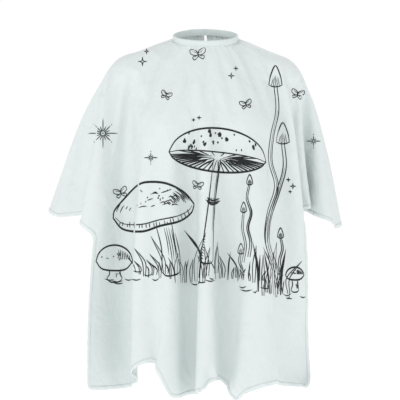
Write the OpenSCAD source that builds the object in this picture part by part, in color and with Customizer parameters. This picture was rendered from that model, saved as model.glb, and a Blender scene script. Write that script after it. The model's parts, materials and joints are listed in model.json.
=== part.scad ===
// Barber cape, closed at the nape and hanging as worn.
// The front faces -Y, +Z is up, and the origin is the centre of the neck opening.
// The cloth is one cut that is gathered into a neckband. It is modelled as panels that
// meet along the lines where it folds: each wing lifts with the arm, each back flap
// swings away from the slit, and the closure tab peels off its snap studs.

/* [Neckband] */
// Inside radius of the closed neckband
neck_r = 68; // [60:0.5:82]
// Height of the neckband
band_h = 14; // [13:0.5:22]
// Forward tilt of the neckband, in degrees
band_tilt = 18; // [10:1:24]
// Thickness of the lining against the neck
lining_t = 0.9; // [0.6:0.1:1.4]
// Thickness of the stiff interlining
interlining_t = 1.2; // [1.2:0.1:2]
// Thickness of the neckband's outer shell
shell_t = 0.9; // [0.6:0.1:1.4]

/* [Snaps] */
// Number of size settings, one stud for each
stud_count = 5; // [2:1:6]
// Distance between studs, measured around the band
stud_pitch = 16; // [12.5:0.5:18]
// Distance from the back opening to the first stud
first_stud = 16; // [10:0.5:20]
// Radius of a snap's stud flange and socket
snap_r = 4.6; // [4:0.1:4.8]
// Radius of a stud's head
stud_r = 1.7; // [1.4:0.1:2]
// Radius of the round caps on the outside of the tab
cap_r = 5; // [4.2:0.1:5.2]

/* [Closure tab] */
// Number of sockets on the tab
socket_count = 2; // [1:1:2]
// Distance from the back opening to the line where the tab folds
tab_root = 8; // [5:0.5:12]
// Length of cloth past the last socket
tab_end = 10; // [8:0.5:16]
// Thickness of the tab's lining, interlining and shell, each
tab_ply = 0.8; // [0.6:0.1:1.2]

/* [Cloth] */
// Thickness of the cloth
cloth_t = 0.8; // [0.5:0.1:1.2]
// Thickness of a turned hem
hem_t = 1.6; // [1:0.1:2.4]
// Width of a turned hem
hem_w = 8; // [5:0.5:15]
// Drop of the front hem below the neck opening
front_drop = 767; // [600:5:900]
// Drop of the back hem at the slit
back_drop = 440; // [380:5:520]
// Distance that the front stands forward of the neck at the hem
front_depth = 165; // [140:1:190]
// Half distance across the shoulders
shoulder_x = 198; // [175:1:225]
// Drop of the shoulder line below the neck opening
shoulder_drop = 50; // [35:1:75]
// Distance from the neck to the left wing tip, sideways
left_reach = 338; // [280:2:400]
// Drop of the left wing tip
left_tip_drop = 363; // [320:2:420]
// Distance from the neck to the right wing tip, sideways
right_reach = 298; // [270:2:400]
// Drop of the right wing tip
right_tip_drop = 405; // [320:2:420]
// Half width of the front hem on the left
left_hem_x = 278; // [220:2:320]
// Half width of the front hem on the right
right_hem_x = 240; // [220:2:320]

/* [Hidden] */
$fn = 96;

CLOTH = "#dfe9e7";
HEM = "#e9f0ee";
BAND = "#d5e0de";
RESIN = "#eef3f2";
THREAD = "#cdd8d6";

// Gap between cloth panels that move apart, and under the neckband
fold_gap = 0.8;
seam_gap = 0.4;
// Gap between a hem and its panel, and between a thread and the cloth it lies on
stitch_gap = 0.15;
thread_gap = 0.03;
// Radii of the neckband's plies, from the neck outwards
lining_r = neck_r + lining_t;
interlining_r = lining_r + interlining_t;
band_r = interlining_r + shell_t;
// Half the opening between the band's two ends, in degrees
end_gap = 0.5;

// Snap heights, measured outwards from the axis of the band
flange_t = 0.8;
head_h = 1.5;
stud_cap_t = 0.6;
cap_t = 1.3;
pin_r = 0.9;
hole_r = pin_r + 0.2;
socket_play = 0.35;
socket_t = 1.9;
socket_z = band_r + flange_t + socket_play;
socket_top = socket_z + socket_t;
tab_r = sqrt(pow(socket_top, 2) + pow(snap_r, 2)) + 0.1;
tab_ply_r = [for (i = [0 : 3]) tab_r + i * tab_ply];

function arc_deg(length, r) = length / r * 180 / PI;
function stud_angle(i) = 90 + arc_deg(first_stud + i * stud_pitch, band_r);
root_angle = 90 - arc_deg(tab_root, band_r);
tip_angle = stud_angle(socket_count - 1) + arc_deg(tab_end, band_r);
base_length = 18;
base_angle = root_angle - arc_deg(base_length, band_r);

// Stitching rows and thread
thread_r = 0.22;
row_z = band_h / 2 - 1.2;

// Where the panels meet, each a distance sideways, forward (-Y) and down
shoulder_front_y = -60;
shoulder_back_y = 80;
crease_y = -152;
crease_drop = 439;
back_corner_y = 132;
back_corner_drop = 470;
hem_corner_y = -196;
front_arc = 72;
flap_deg = 6;
yoke_rise = 9;
back_bulge = 14;
wing_bulge = 16;
flute_depth = 9;
flute_count = 3.5;
slit_gap = 3;

// ---- Points of the cloth; side is -1 on the left and 1 on the right ----

function mix(a, b, t) = a + (b - a) * t;
function tilted(p) = [p.x, p.y * cos(band_tilt) - p.z * sin(band_tilt),
                      p.y * sin(band_tilt) + p.z * cos(band_tilt)];
// The seam under the neckband, at an angle around it
seam_r = interlining_r - 0.2;
function seam(a) = tilted([seam_r * cos(a), seam_r * sin(a), -band_h / 2 - seam_gap]);
function mirrored(side, p) = [side * p.x, p.y, p.z];
function around(side, a) = side > 0 ? 270 + a : 270 - a;

function reach(side) = side > 0 ? right_reach : left_reach;
function tip_drop(side) = side > 0 ? right_tip_drop : left_tip_drop;
function hem_x(side) = side > 0 ? right_hem_x : left_hem_x;
// The crease in front of the arm sits inside the line from shoulder to hem corner
function crease_x(side) = mix(shoulder_x, hem_x(side), 0.42);

function shoulder_front(side) = [side * shoulder_x, shoulder_front_y, -shoulder_drop];
function shoulder_back(side) = [side * shoulder_x, shoulder_back_y, -shoulder_drop];
function crease(side) = [side * crease_x(side), crease_y, -crease_drop];
function hem_corner(side) = [side * (hem_x(side) - hem_w), hem_corner_y, hem_w - front_drop + 6];
function back_corner(side) = [side * (shoulder_x + 8), back_corner_y, -back_corner_drop];
function wing_tip(side) = [side * (reach(side) - hem_w * 0.4), 15, hem_w * 0.8 - tip_drop(side)];

// Shared curve from the neckband to the front of the shoulder
function yoke_front(side, t) =
    mix(seam(around(side, front_arc)), shoulder_front(side), t) + [0, 0, yoke_rise * 4 * t * (1 - t)];

// Side edge of the front: over the shoulder, down the crease, then free to the hem corner
shoulder_v = 0.2;
crease_v = 0.58;
function front_side(side, v) =
    v < shoulder_v ? yoke_front(side, v / shoulder_v) :
    v < crease_v ? mix(shoulder_front(side), crease(side), (v - shoulder_v) / (crease_v - shoulder_v)) :
    mix(crease(side), hem_corner(side), (v - crease_v) / (1 - crease_v));

// Middle of the front, which leaves the chest in a smooth curve
function front_middle(v) =
    let (top = seam(270), z = mix(top.z, hem_w - front_drop, v))
    [0, top.y - (front_depth + top.y) * (1 - exp((z - top.z) / 120)), z];

// The hem rises between the folds
function hem_lift(u) = 46 * exp(-pow((u + 0.55) / 0.2, 2)) + 32 * exp(-pow((u - 0.09) / 0.18, 2));

function front_cloth(u, v) =
    let (side = u < 0 ? -1 : 1, a = abs(u), mid = front_middle(v), edge = front_side(side, v),
         down = max(v, 0), blend = min(1, down / 0.12),
         flute = flute_depth * pow(down, 1.5) * cos(360 * flute_count * u) * (1 - pow(min(a, 1), 4)),
         hung = [edge.x * a, mix(mid.y, edge.y, pow(a, 2.4)) - flute,
                 mix(mid.z, edge.z, pow(a, 1.5)) + hem_lift(u) * pow(down, 9)])
    mix(seam(around(1, front_arc * u)), hung, blend);

// Shoulder and side back: the outer edge runs along the shoulder, then to the back corner
back_arc = 180 - flap_deg - front_arc;
function yoke_edge(side, u) =
    u < 0.5 ? mix(shoulder_front(side), shoulder_back(side), u * 2) :
              mix(shoulder_back(side), back_corner(side), u * 2 - 1);
function yoke_cloth(side, u, v) =
    mix(seam(around(side, front_arc + back_arc * u)), yoke_edge(side, u), v)
    + 4 * v * (1 - v) * (1 - u) * [0, back_bulge * u, yoke_rise];

// The back flap is ruled from its fold line to the slit
function fold_line(side, u) =
    mix(seam(around(side, 180 - flap_deg)), back_corner(side), u) - [side * fold_gap, 0, 0];
function slit_line(side, u) =
    let (top = seam(90), low = [0, top.y + 48, hem_w - back_drop])
    [side * (slit_gap / 2 + hem_w), 0, 0] + mix(top, low, u) + [0, 14 * sin(180 * min(u, 1)), 0];
flap_top = 0.03;
function flap_cloth(side, u, w) =
    let (t = mix(flap_top, 1, u))
    mix(fold_line(side, t), slit_line(side, t), w) + [0, 10 * sin(360 * w) * t * t, 0];

// The wing hangs from the shoulder line and bells out to its tip
function wing_hem(side, u) =
    let (a = crease(side), b = back_corner(side), c = 2 * wing_tip(side) - (a + b) / 2)
    mix(mix(a, c, u), mix(c, b, u), u);
function wing_cloth(side, u, v) =
    let (top = mix(shoulder_front(side), shoulder_back(side), u),
         swell = wing_bulge * sin(180 * min(max(v, 0), 1)) * sin(180 * min(max(u, 0), 1)))
    mix(top, wing_hem(side, u), v) + [side * (swell + fold_gap), (0.5 - u) * 2 * fold_gap, 0];

// ---- Building blocks ----

function steps(from, to, n) = [for (i = [0 : n]) mix(from, to, i / n)];

// A closed sheet between the surface f(u, v) and the same surface moved by t along its normal
module sheet(f, us, vs, t) {
    nu = len(us);
    n = nu * len(vs);
    e = 0.001;
    function normal(u, v) = let (m = cross(f(u + e, v) - f(u - e, v), f(u, v + e) - f(u, v - e))) m / norm(m);
    face = [for (v = vs) for (u = us) f(u, v)];
    back = [for (v = vs) for (u = us) f(u, v) - t * normal(u, v)];
    skin = [for (j = [0 : len(vs) - 2]) for (i = [0 : nu - 2]) let (a = j * nu + i)
            each [[a, a + nu, a + nu + 1], [a, a + nu + 1, a + 1],
                  [a + n, a + nu + 1 + n, a + nu + n], [a + n, a + 1 + n, a + nu + 1 + n]]];
    last = n - nu;
    rows = [for (i = [0 : nu - 2]) each [
            [i, i + 1, i + 1 + n], [i, i + 1 + n, i + n],
            [last + i + 1, last + i, last + i + n], [last + i + 1, last + i + n, last + i + 1 + n]]];
    cols = [for (j = [0 : len(vs) - 2]) let (a = j * nu, b = a + nu - 1) each [
            [a + nu, a, a + n], [a + nu, a + n, a + nu + n],
            [b, b + nu, b + nu + n], [b, b + nu + n, b + n]]];
    faces = concat(skin, rows, cols);
    polyhedron(concat(face, back), t > 0 ? faces : [for (g = faces) [g[2], g[1], g[0]]]);
}

// Part of a ring about the neckband's axis
module ring(r0, r1, h, a0, a1)
    rotate([0, 0, a0]) rotate_extrude(angle = a1 - a0) translate([r0, -h / 2]) square([r1 - r0, h]);
module thread(r, z, a0, a1)
    rotate([0, 0, a0]) rotate_extrude(angle = a1 - a0) translate([r, z]) circle(r = thread_r, $fn = 16);
module on_band() rotate([band_tilt, 0, 0]) children();
// Places a child at a stud, with +Z pointing out from the neck
module at_stud(i) rotate([0, 0, stud_angle(i)]) rotate([0, 90, 0]) children();
module disc(z, r, h) translate([0, 0, z]) cylinder(r = r, h = h);

// ---- Front of the cape ----

front_us = steps(-1, 1, 22);
side_vs = steps(crease_v, 1, 5);
front_vs = concat(steps(0, shoulder_v, 4), steps(0.29, 0.48, 2), side_vs);
// The side hems start below the corner of the wing
side_hem_vs = steps(crease_v + 2.5 * hem_w / front_drop, 1, 5);
// Both edges of a hem strip, as shares of the length of its panel
function strip(length) = [1 + stitch_gap / length, 1 + hem_w / length];

module front_panel() color(CLOTH) sheet(function (u, v) front_cloth(u, v), front_us, front_vs, -cloth_t);
module front_hem() color(HEM)
    sheet(function (u, v) front_cloth(u, v), front_us, strip(front_drop), -hem_t);
module side_hem(side) color(HEM)
    sheet(function (u, v) front_cloth(side * u, v), strip(hem_x(side)), side_hem_vs, -side * hem_t);
module yoke(side) color(CLOTH)
    sheet(function (u, v) yoke_cloth(side, u, v), steps(0, 1, 12), steps(0, 1, 8), -side * cloth_t);

// ---- Neckband ----

band_a0 = 90 + end_gap;
band_a1 = 450 - end_gap;
module pin_holes() for (i = [0 : stud_count - 1]) at_stud(i) disc(neck_r, hole_r, band_r);

module neckband_shell() color(BAND) on_band() difference() {
    ring(interlining_r, band_r, band_h, band_a0, band_a1);
    pin_holes();
}
// The caps of the studs are let into the interlining, under the lining
module neckband_interlining() color("white") on_band() difference() {
    ring(lining_r, interlining_r, band_h, band_a0, band_a1);
    pin_holes();
    for (i = [0 : stud_count - 1]) at_stud(i) disc(neck_r, snap_r + 0.2, lining_t + stud_cap_t + 0.4);
}
module neckband_lining() color(BAND) on_band() ring(neck_r, lining_r, band_h, band_a0, band_a1);
module neckband_stitching() color(THREAD) on_band() for (z = [-row_z, row_z])
    thread(band_r + thread_r + thread_gap, z, tip_angle + 3, 360 + base_angle - 3);

module snap_studs() color(RESIN) on_band() for (i = [0 : stud_count - 1]) at_stud(i) difference() {
    union() {
        disc(band_r, snap_r, flange_t);
        disc(band_r + flange_t - 0.01, stud_r - 0.3, head_h);
        disc(band_r + flange_t + head_h / 2, stud_r, head_h / 2);
    }
    disc(band_r - 1, pin_r + 0.05, 2);
}
module stud_caps() color(RESIN) on_band() for (i = [0 : stud_count - 1]) at_stud(i) {
    disc(lining_r + 0.3, snap_r, stud_cap_t);
    disc(lining_r + 0.3, pin_r, band_r + 0.7 - lining_r);
}

// The fixed end of the closure tab climbs from the band to the height of the snaps
base_steps = 6;
base_angles = steps(base_angle, root_angle - 0.5, base_steps);
function base_point(i, out) = let (a = base_angles[i], climb = pow(sin(90 * i / base_steps), 2))
    (mix(band_r + 0.1, tab_r, climb) + out) * [cos(a), sin(a)];
module tab_base() color(BAND) on_band() translate([0, 0, -band_h / 2]) linear_extrude(band_h)
    polygon(concat([for (i = [0 : base_steps]) base_point(i, 0)],
                   [for (i = [base_steps : -1 : 0]) base_point(i, 3 * tab_ply)]));

// ---- Closure tab ----

module tab_layer(i) on_band() difference() {
    ring(tab_ply_r[i], tab_ply_r[i + 1], band_h, root_angle, tip_angle);
    for (k = [0 : socket_count - 1]) at_stud(k) disc(neck_r, hole_r, band_r);
}
module tab_lining() color(BAND) tab_layer(0);
module tab_interlining() color("white") tab_layer(1);
module tab_shell() color(BAND) tab_layer(2);
module tab_stitching() color(THREAD) on_band() for (z = [-row_z, row_z])
    thread(tab_ply_r[3] + thread_r + thread_gap, z, root_angle + 2, tip_angle - 2);
module snap_sockets() color(RESIN) on_band() for (i = [0 : socket_count - 1]) at_stud(i) difference() {
    disc(socket_z, snap_r, socket_t);
    disc(socket_z - 1, stud_r + 0.6, head_h + 0.1 + 1);
}
module socket_caps() color(RESIN) on_band() for (i = [0 : socket_count - 1]) at_stud(i) {
    disc(tab_ply_r[3], cap_r, cap_t * 0.6);
    translate([0, 0, tab_ply_r[3] + cap_t * 0.6]) cylinder(r1 = cap_r, r2 = cap_r - 1, h = cap_t * 0.4);
    disc(socket_top, pin_r, tab_ply_r[3] - socket_top);
}

// ---- Wings and back flaps ----

wing_us = steps(0, 1, 12);
// Hems stop this share of their length short of a corner that another panel meets
corner_gap = 0.03;
module wing(side) color(CLOTH)
    sheet(function (u, v) wing_cloth(side, u, v), wing_us, steps(0, 1, 8), side * cloth_t);
module wing_hem_strip(side) color(HEM)
    sheet(function (u, v) wing_cloth(side, u, v), steps(corner_gap, 1 - corner_gap, 12),
          strip(tip_drop(side)), side * hem_t);

flap_us = steps(0, 1, 10);
module flap(side) color(CLOTH)
    sheet(function (w, u) flap_cloth(side, u, w), steps(0, 1, 8), flap_us, side * cloth_t);
module flap_hem(side) color(HEM)
    sheet(function (w, u) flap_cloth(side, u, w), steps(corner_gap, 1, 8), strip(back_drop), side * hem_t);
// A turned facing runs down each edge of the slit
module slit_facing(side) color(HEM)
    sheet(function (x, u) flap_cloth(side, u, 1) - [side * x, 0, 0], [stitch_gap, hem_w],
          flap_us, side * hem_t);

front_panel();
front_hem();
side_hem(-1);  // left_side_hem
side_hem(1);  // right_side_hem
yoke(-1);  // left_yoke
yoke(1);  // right_yoke
neckband_shell();
neckband_interlining();
neckband_lining();
neckband_stitching();
snap_studs();
stud_caps();
tab_base();
tab_shell();
tab_interlining();
tab_lining();
tab_stitching();
snap_sockets();
socket_caps();
wing(-1);  // left_wing
wing_hem_strip(-1);  // left_wing_hem
wing(1);  // right_wing
wing_hem_strip(1);  // right_wing_hem
flap(-1);  // left_back_flap
flap_hem(-1);  // left_back_hem
slit_facing(-1);  // left_slit_facing
flap(1);  // right_back_flap
flap_hem(1);  // right_back_hem
slit_facing(1);  // right_slit_facing
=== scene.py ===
# %% [markdown]
# # A barber cape, draped around its frame
#
# A barber cape is one big sheet of thin polyester, gathered into a stiff neckband that snaps shut at
# the nape. Everything you see of it is cloth that hangs, so the heart of this file is one cloth
# simulation over a dress form. The neckband, snaps, hems, stitches and print are then built on the
# draped sheet. We start by loading the frame, which says where the parts are and how they move.

# %% Load the frame
import json
import math
import random

import bmesh
import bpy
import numpy as np
from mathutils import Matrix, Vector
from mathutils.bvhtree import BVHTree
from mathutils.geometry import barycentric_transform, delaunay_2d_cdt


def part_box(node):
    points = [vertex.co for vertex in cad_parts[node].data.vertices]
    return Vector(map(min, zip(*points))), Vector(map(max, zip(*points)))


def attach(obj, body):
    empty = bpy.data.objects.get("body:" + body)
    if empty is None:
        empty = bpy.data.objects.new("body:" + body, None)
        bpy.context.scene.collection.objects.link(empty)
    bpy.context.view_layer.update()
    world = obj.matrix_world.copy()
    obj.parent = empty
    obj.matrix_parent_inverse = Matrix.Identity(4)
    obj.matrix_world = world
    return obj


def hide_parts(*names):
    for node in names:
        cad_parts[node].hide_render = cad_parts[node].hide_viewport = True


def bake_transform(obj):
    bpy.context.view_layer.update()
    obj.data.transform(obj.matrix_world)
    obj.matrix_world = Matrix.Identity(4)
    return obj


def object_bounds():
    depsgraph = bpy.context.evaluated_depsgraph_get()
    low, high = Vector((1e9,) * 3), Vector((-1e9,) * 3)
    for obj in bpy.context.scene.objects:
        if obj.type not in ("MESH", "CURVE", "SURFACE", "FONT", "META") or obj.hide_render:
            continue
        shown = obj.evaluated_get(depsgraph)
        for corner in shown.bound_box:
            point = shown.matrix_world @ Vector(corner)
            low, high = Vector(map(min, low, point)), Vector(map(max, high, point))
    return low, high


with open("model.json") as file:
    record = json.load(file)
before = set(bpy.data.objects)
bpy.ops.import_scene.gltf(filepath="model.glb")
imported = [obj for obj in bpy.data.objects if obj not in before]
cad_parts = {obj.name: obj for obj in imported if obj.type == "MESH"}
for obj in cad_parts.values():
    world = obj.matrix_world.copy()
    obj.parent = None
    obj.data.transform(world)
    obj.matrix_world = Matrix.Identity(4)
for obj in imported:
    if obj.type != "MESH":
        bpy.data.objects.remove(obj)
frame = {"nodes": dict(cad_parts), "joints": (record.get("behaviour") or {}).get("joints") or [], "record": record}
cad_low, cad_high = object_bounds()
MM = 0.001
print("frame from", [round(c, 3) for c in cad_low], "to", [round(c, 3) for c in cad_high])

# %% [markdown]
# The neck opening is a mount of the part, so its radius, height and tilt come from the record. The
# joints give the points that the wings and back flaps turn about, and later the cloth is parted along lines
# through them.

# %% Sizes taken from the frame
neck = frame["record"]["mounts"][0]
neck_r = neck["dims"]["r_mm"] * MM
band_h = neck["dims"]["length_mm"] * MM
band_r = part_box("neckband_shell")[1].x
neck_axis = Vector(neck["axis"])
band_tilt = Matrix.Rotation(math.atan2(-neck_axis.y, neck_axis.z), 3, "X")
joint_at = {j["name"]: Vector(j["pos_m"]) for j in frame["joints"]}
joint_axis = {j["name"]: Vector(j["axis"]) for j in frame["joints"]}
SIDES = {-1: "left", 1: "right"}


def corner(node, axis, sign):
    """The vertex of a CAD node that lies furthest along an axis."""
    return max((v.co.copy() for v in frame["nodes"][node].data.vertices), key=lambda c: sign * c[axis])


print(f"neckband {neck_r * 2000:.0f} mm inside, {band_h * 1000:.0f} mm high, joints {sorted(joint_at)}")

# %% [markdown]
# ## Camera, floor and light
#
# Product pictures of such capes are taken straight from the front with a long lens, in soft light
# on white. Two wide area lights and a pale world do that here. The lights stay large, because the
# folds of thin cloth are shallow, and a small light would draw hard edges on them.

# %% Camera
LOOK_AT = Vector((-0.012, 0, -0.352))
CAMERA_BACK = 2.6
VIEW_WIDTH = 0.8696
SENSOR = 36
bpy.ops.object.select_all(action="DESELECT")
bpy.ops.object.camera_add(location=LOOK_AT - Vector((0, CAMERA_BACK, 0)), rotation=(math.pi / 2, 0, 0))
camera = bpy.context.object
camera.data.sensor_width = SENSOR
camera.data.lens = SENSOR * CAMERA_BACK / VIEW_WIDTH
bpy.context.scene.camera = camera
print(f"lens {camera.data.lens:.0f} mm")


# %% Nodes, one line each
def add_node(tree, kind, inputs=None, **settings):
    """A node with its settings, and each input either joined to a socket or set to a value."""
    node = tree.nodes.new(kind)
    for name, value in settings.items():
        setattr(node, name, value)
    for name, value in (inputs or {}).items():
        if isinstance(value, bpy.types.NodeSocket):
            tree.links.new(value, node.inputs[name])
        else:
            node.inputs[name].default_value = value
    return node


def math_node(tree, operation, *values):
    return add_node(tree, "ShaderNodeMath", dict(enumerate(values)), operation=operation).outputs[0]


# %% Floor, world and lights
FLOOR_DROP = 0.42
bpy.ops.mesh.primitive_plane_add(size=60, location=(0, 0, cad_low.z - FLOOR_DROP))
floor = bpy.context.object
floor.name = "studio_floor"
floor_paint = bpy.data.materials.new("studio_floor")
floor_paint.use_nodes = True
floor_shader = floor_paint.node_tree.nodes["Principled BSDF"]
floor_shader.inputs["Base Color"].default_value = (0.86, 0.87, 0.87, 1)
floor_shader.inputs["Roughness"].default_value = 0.9
floor_shader.inputs["Emission Color"].default_value = (1, 1, 1, 1)
floor_shader.inputs["Emission Strength"].default_value = 0.42
floor.data.materials.append(floor_paint)

world = bpy.data.worlds.new("soft_studio")
bpy.context.scene.world = world
world.use_nodes = True
sky = world.node_tree
sky.nodes.clear()
seen = add_node(sky, "ShaderNodeLightPath").outputs["Is Camera Ray"]
brightness = math_node(sky, "MULTIPLY_ADD", seen, 0.32, 0.70)
backdrop = add_node(sky, "ShaderNodeBackground", {"Color": (1, 1, 1, 1), "Strength": brightness})
add_node(sky, "ShaderNodeOutputWorld", {"Surface": backdrop.outputs[0]})
bpy.context.scene.view_settings.view_transform = "Standard"


def soft_light(name, place, size, power):
    bpy.ops.object.light_add(type="AREA", location=place)
    light = bpy.context.object
    light.name = name
    light.data.size = size
    light.data.energy = power
    light.rotation_mode = "QUATERNION"
    light.rotation_quaternion = (LOOK_AT - Vector(place)).to_track_quat("-Z", "Y")
    return light


soft_light("key_softbox", (-1.9, -1.7, 0.9), 1.4, 15)
soft_light("fill_softbox", (2.2, -1.5, 0.3), 1.6, 8)
soft_light("back_softbox", (0.6, 2.4, 1.2), 1.6, 14)
print("studio ready")

# %% [markdown]
# ## Effects that several finishes share
#
# Woven cloth shows three things at once: the tiny over-and-under of its threads, soft crumples from
# folding and handling, and slight changes of tone. Each is a node group with its own inputs, so that
# cape, band and hems can use the same effect at different strengths. The weave reads the cloth's own
# map, which holds metres of flat cloth, so it bends with the folds as a real weave does.


# %% A node group with named sockets
def new_group(name, inputs, outputs):
    """inputs are {name: (socket type, value)} and outputs {name: socket type}."""
    group = bpy.data.node_groups.new(name, "ShaderNodeTree")
    for label, (kind, value) in inputs.items():
        group.interface.new_socket(label, in_out="INPUT", socket_type=kind).default_value = value
    for label, kind in outputs.items():
        group.interface.new_socket(label, in_out="OUTPUT", socket_type=kind)
    return group, add_node(group, "NodeGroupInput").outputs, add_node(group, "NodeGroupOutput").inputs


def use_group(tree, group, **inputs):
    node = add_node(tree, "ShaderNodeGroup", node_tree=group)
    for name, value in inputs.items():
        socket = node.inputs[name.replace("_", " ").capitalize()]
        if isinstance(value, bpy.types.NodeSocket):
            tree.links.new(value, socket)
        else:
            socket.default_value = value
    return node.outputs


VECTOR, FLOAT = "NodeSocketVector", "NodeSocketFloat"

# %% Plain weave: threads that pass over and under each other
weave, given, made = new_group(
    "plain_weave", {"Place": (VECTOR, (0, 0, 0)), "Threads": (FLOAT, 1500.0)},
    {"Height": FLOAT, "Slub": FLOAT})
axes = add_node(weave, "ShaderNodeSeparateXYZ", {"Vector": given["Place"]}).outputs
waves = []
for label in "XY":
    turns = math_node(weave, "MULTIPLY", axes[label], given["Threads"])
    waves.append(math_node(weave, "SINE", math_node(weave, "MULTIPLY", turns, math.pi)))
crossing = math_node(weave, "MULTIPLY", *waves)
weave.links.new(math_node(weave, "MULTIPLY_ADD", crossing, 0.5, 0.5), made["Height"])
# A slub is a stretch of thicker thread, seen as a faint streak along the cloth
streaks = add_node(weave, "ShaderNodeMapping", {"Vector": given["Place"], "Scale": (14, 420, 1)}).outputs[0]
slub = add_node(weave, "ShaderNodeTexNoise", {"Vector": streaks, "Scale": 1.0, "Detail": 2.0}).outputs["Fac"]
weave.links.new(slub, made["Slub"])

# %% Crumple: soft dents from folding and handling
crumple, given, made = new_group(
    "soft_crumple", {"Place": (VECTOR, (0, 0, 0)), "Size": (FLOAT, 16.0)}, {"Height": FLOAT})
broad = add_node(crumple, "ShaderNodeTexNoise",
                 {"Vector": given["Place"], "Scale": given["Size"], "Detail": 3.0, "Roughness": 0.45,
                  "Distortion": 0.6}).outputs["Fac"]
fine_size = math_node(crumple, "MULTIPLY", given["Size"], 4.3)
fine = add_node(crumple, "ShaderNodeTexNoise",
                {"Vector": given["Place"], "Scale": fine_size, "Detail": 2.0}).outputs["Fac"]
crumple.links.new(math_node(crumple, "MULTIPLY_ADD", fine, 0.16, broad), made["Height"])

# %% Tone: slow changes of shade and gloss over a surface
tone, given, made = new_group(
    "tone_change",
    {"Place": (VECTOR, (0, 0, 0)), "Size": (FLOAT, 6.0), "Least": (FLOAT, 0.0), "Most": (FLOAT, 1.0)},
    {"Value": FLOAT})
cloudy = add_node(tone, "ShaderNodeTexNoise",
                  {"Vector": given["Place"], "Scale": given["Size"], "Detail": 4.0}).outputs["Fac"]
spread = add_node(tone, "ShaderNodeMapRange",
                  {"Value": cloudy, "From Min": 0.3, "From Max": 0.7, "To Min": given["Least"],
                   "To Max": given["Most"]}).outputs["Result"]
tone.links.new(spread, made["Value"])
print("effects:", [g.name for g in bpy.data.node_groups])

# %% [markdown]
# ## Finishes
#
# Each finish is one Principled shader. What is the same all over, such as sheen or coat, is set on
# its own socket, and only what changes from place to place comes through the groups.


# %% A finish with two close tones
def new_finish(name, tones, roughness, tone_size, place="object", **fixed):
    """tones are two colours that mix over the surface. Gives the material, its tree, shader and place."""
    paint = bpy.data.materials.new(name)
    paint.use_nodes = True
    tree = paint.node_tree
    shader = tree.nodes["Principled BSDF"]
    if place == "cut":
        spot = add_node(tree, "ShaderNodeUVMap", uv_map="cut").outputs["UV"]
    else:
        spot = add_node(tree, "ShaderNodeTexCoord").outputs["Object"]
    share = use_group(tree, tone, place=spot, size=tone_size)["Value"]
    mix = add_node(tree, "ShaderNodeMix", {"Factor": share, "A": (*tones[0], 1), "B": (*tones[1], 1)},
                   data_type="RGBA")
    tree.links.new(mix.outputs["Result"], shader.inputs["Base Color"])
    smooth, rough = roughness
    gloss = use_group(tree, tone, place=spot, size=tone_size * 2, least=smooth, most=rough)["Value"]
    tree.links.new(gloss, shader.inputs["Roughness"])
    for socket, value in fixed.items():
        shader.inputs[socket.replace("_", " ")].default_value = value
    return paint, tree, shader, spot


def relief(tree, shader, *layers):
    """Adds height layers, each (height socket, depth in metres), as one bump after another."""
    normal = None
    for height, depth in layers:
        inputs = {"Height": height, "Distance": depth, "Strength": 1.0}
        if normal is not None:
            inputs["Normal"] = normal
        normal = add_node(tree, "ShaderNodeBump", inputs).outputs["Normal"]
    tree.links.new(normal, shader.inputs["Normal"])


def cloth_finish(name, tones, crumple_depth, threads=1500.0):
    paint, tree, shader, spot = new_finish(name, tones, (0.50, 0.64), 5.0, place="cut", Sheen_Weight=0.18,
                                           Sheen_Roughness=0.45, Specular_IOR_Level=0.35)
    woven = use_group(tree, weave, place=spot, threads=threads)
    relief(tree, shader, (use_group(tree, crumple, place=spot, size=15.0)["Height"], crumple_depth),
           (woven["Slub"], 0.00006), (woven["Height"], 0.00004))
    return paint


# %% Cape cloth, hem and band
cape_paint = cloth_finish("cape_cloth", ((0.746, 0.808, 0.802), (0.778, 0.836, 0.829)), 0.0065)
hem_paint = cloth_finish("hem_cloth", ((0.765, 0.824, 0.817), (0.790, 0.846, 0.839)), 0.0012)
band_paint = cloth_finish("band_cloth", ((0.718, 0.790, 0.780), (0.748, 0.816, 0.806)), 0.0010)

# %% Printed ink, thread, snaps and stiffener
ink_paint, tree, shader, spot = new_finish(
    "print_ink", ((0.010, 0.012, 0.014), (0.030, 0.034, 0.038)), (0.55, 0.75), 160.0, place="cut",
    Specular_IOR_Level=0.25)
relief(tree, shader, (use_group(tree, weave, place=spot, threads=1500.0)["Height"], 0.00004))

thread_paint, tree, shader, spot = new_finish(
    "sewing_thread", ((0.66, 0.75, 0.73), (0.74, 0.82, 0.80)), (0.45, 0.6), 400.0, Sheen_Weight=0.2)
ply = add_node(tree, "ShaderNodeTexWave", {"Vector": spot, "Scale": 700.0, "Distortion": 1.5}).outputs["Fac"]
relief(tree, shader, (ply, 0.00008))

snap_paint, tree, shader, spot = new_finish(
    "snap_resin", ((0.80, 0.87, 0.86), (0.86, 0.92, 0.91)), (0.22, 0.34), 90.0, Coat_Weight=0.4,
    Coat_Roughness=0.15)
grain = add_node(tree, "ShaderNodeTexNoise", {"Vector": spot, "Scale": 900.0}).outputs["Fac"]
relief(tree, shader, (grain, 0.00003))

felt_paint, tree, shader, spot = new_finish(
    "interlining", ((0.80, 0.80, 0.77), (0.90, 0.90, 0.88)), (0.75, 0.95), 300.0)
fibres = add_node(tree, "ShaderNodeTexNoise",
                  {"Vector": spot, "Scale": 1600.0, "Distortion": 2.0}).outputs["Fac"]
relief(tree, shader, (fibres, 0.0002))
print("finishes:", sorted(m.name for m in bpy.data.materials if m.use_nodes))
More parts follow.
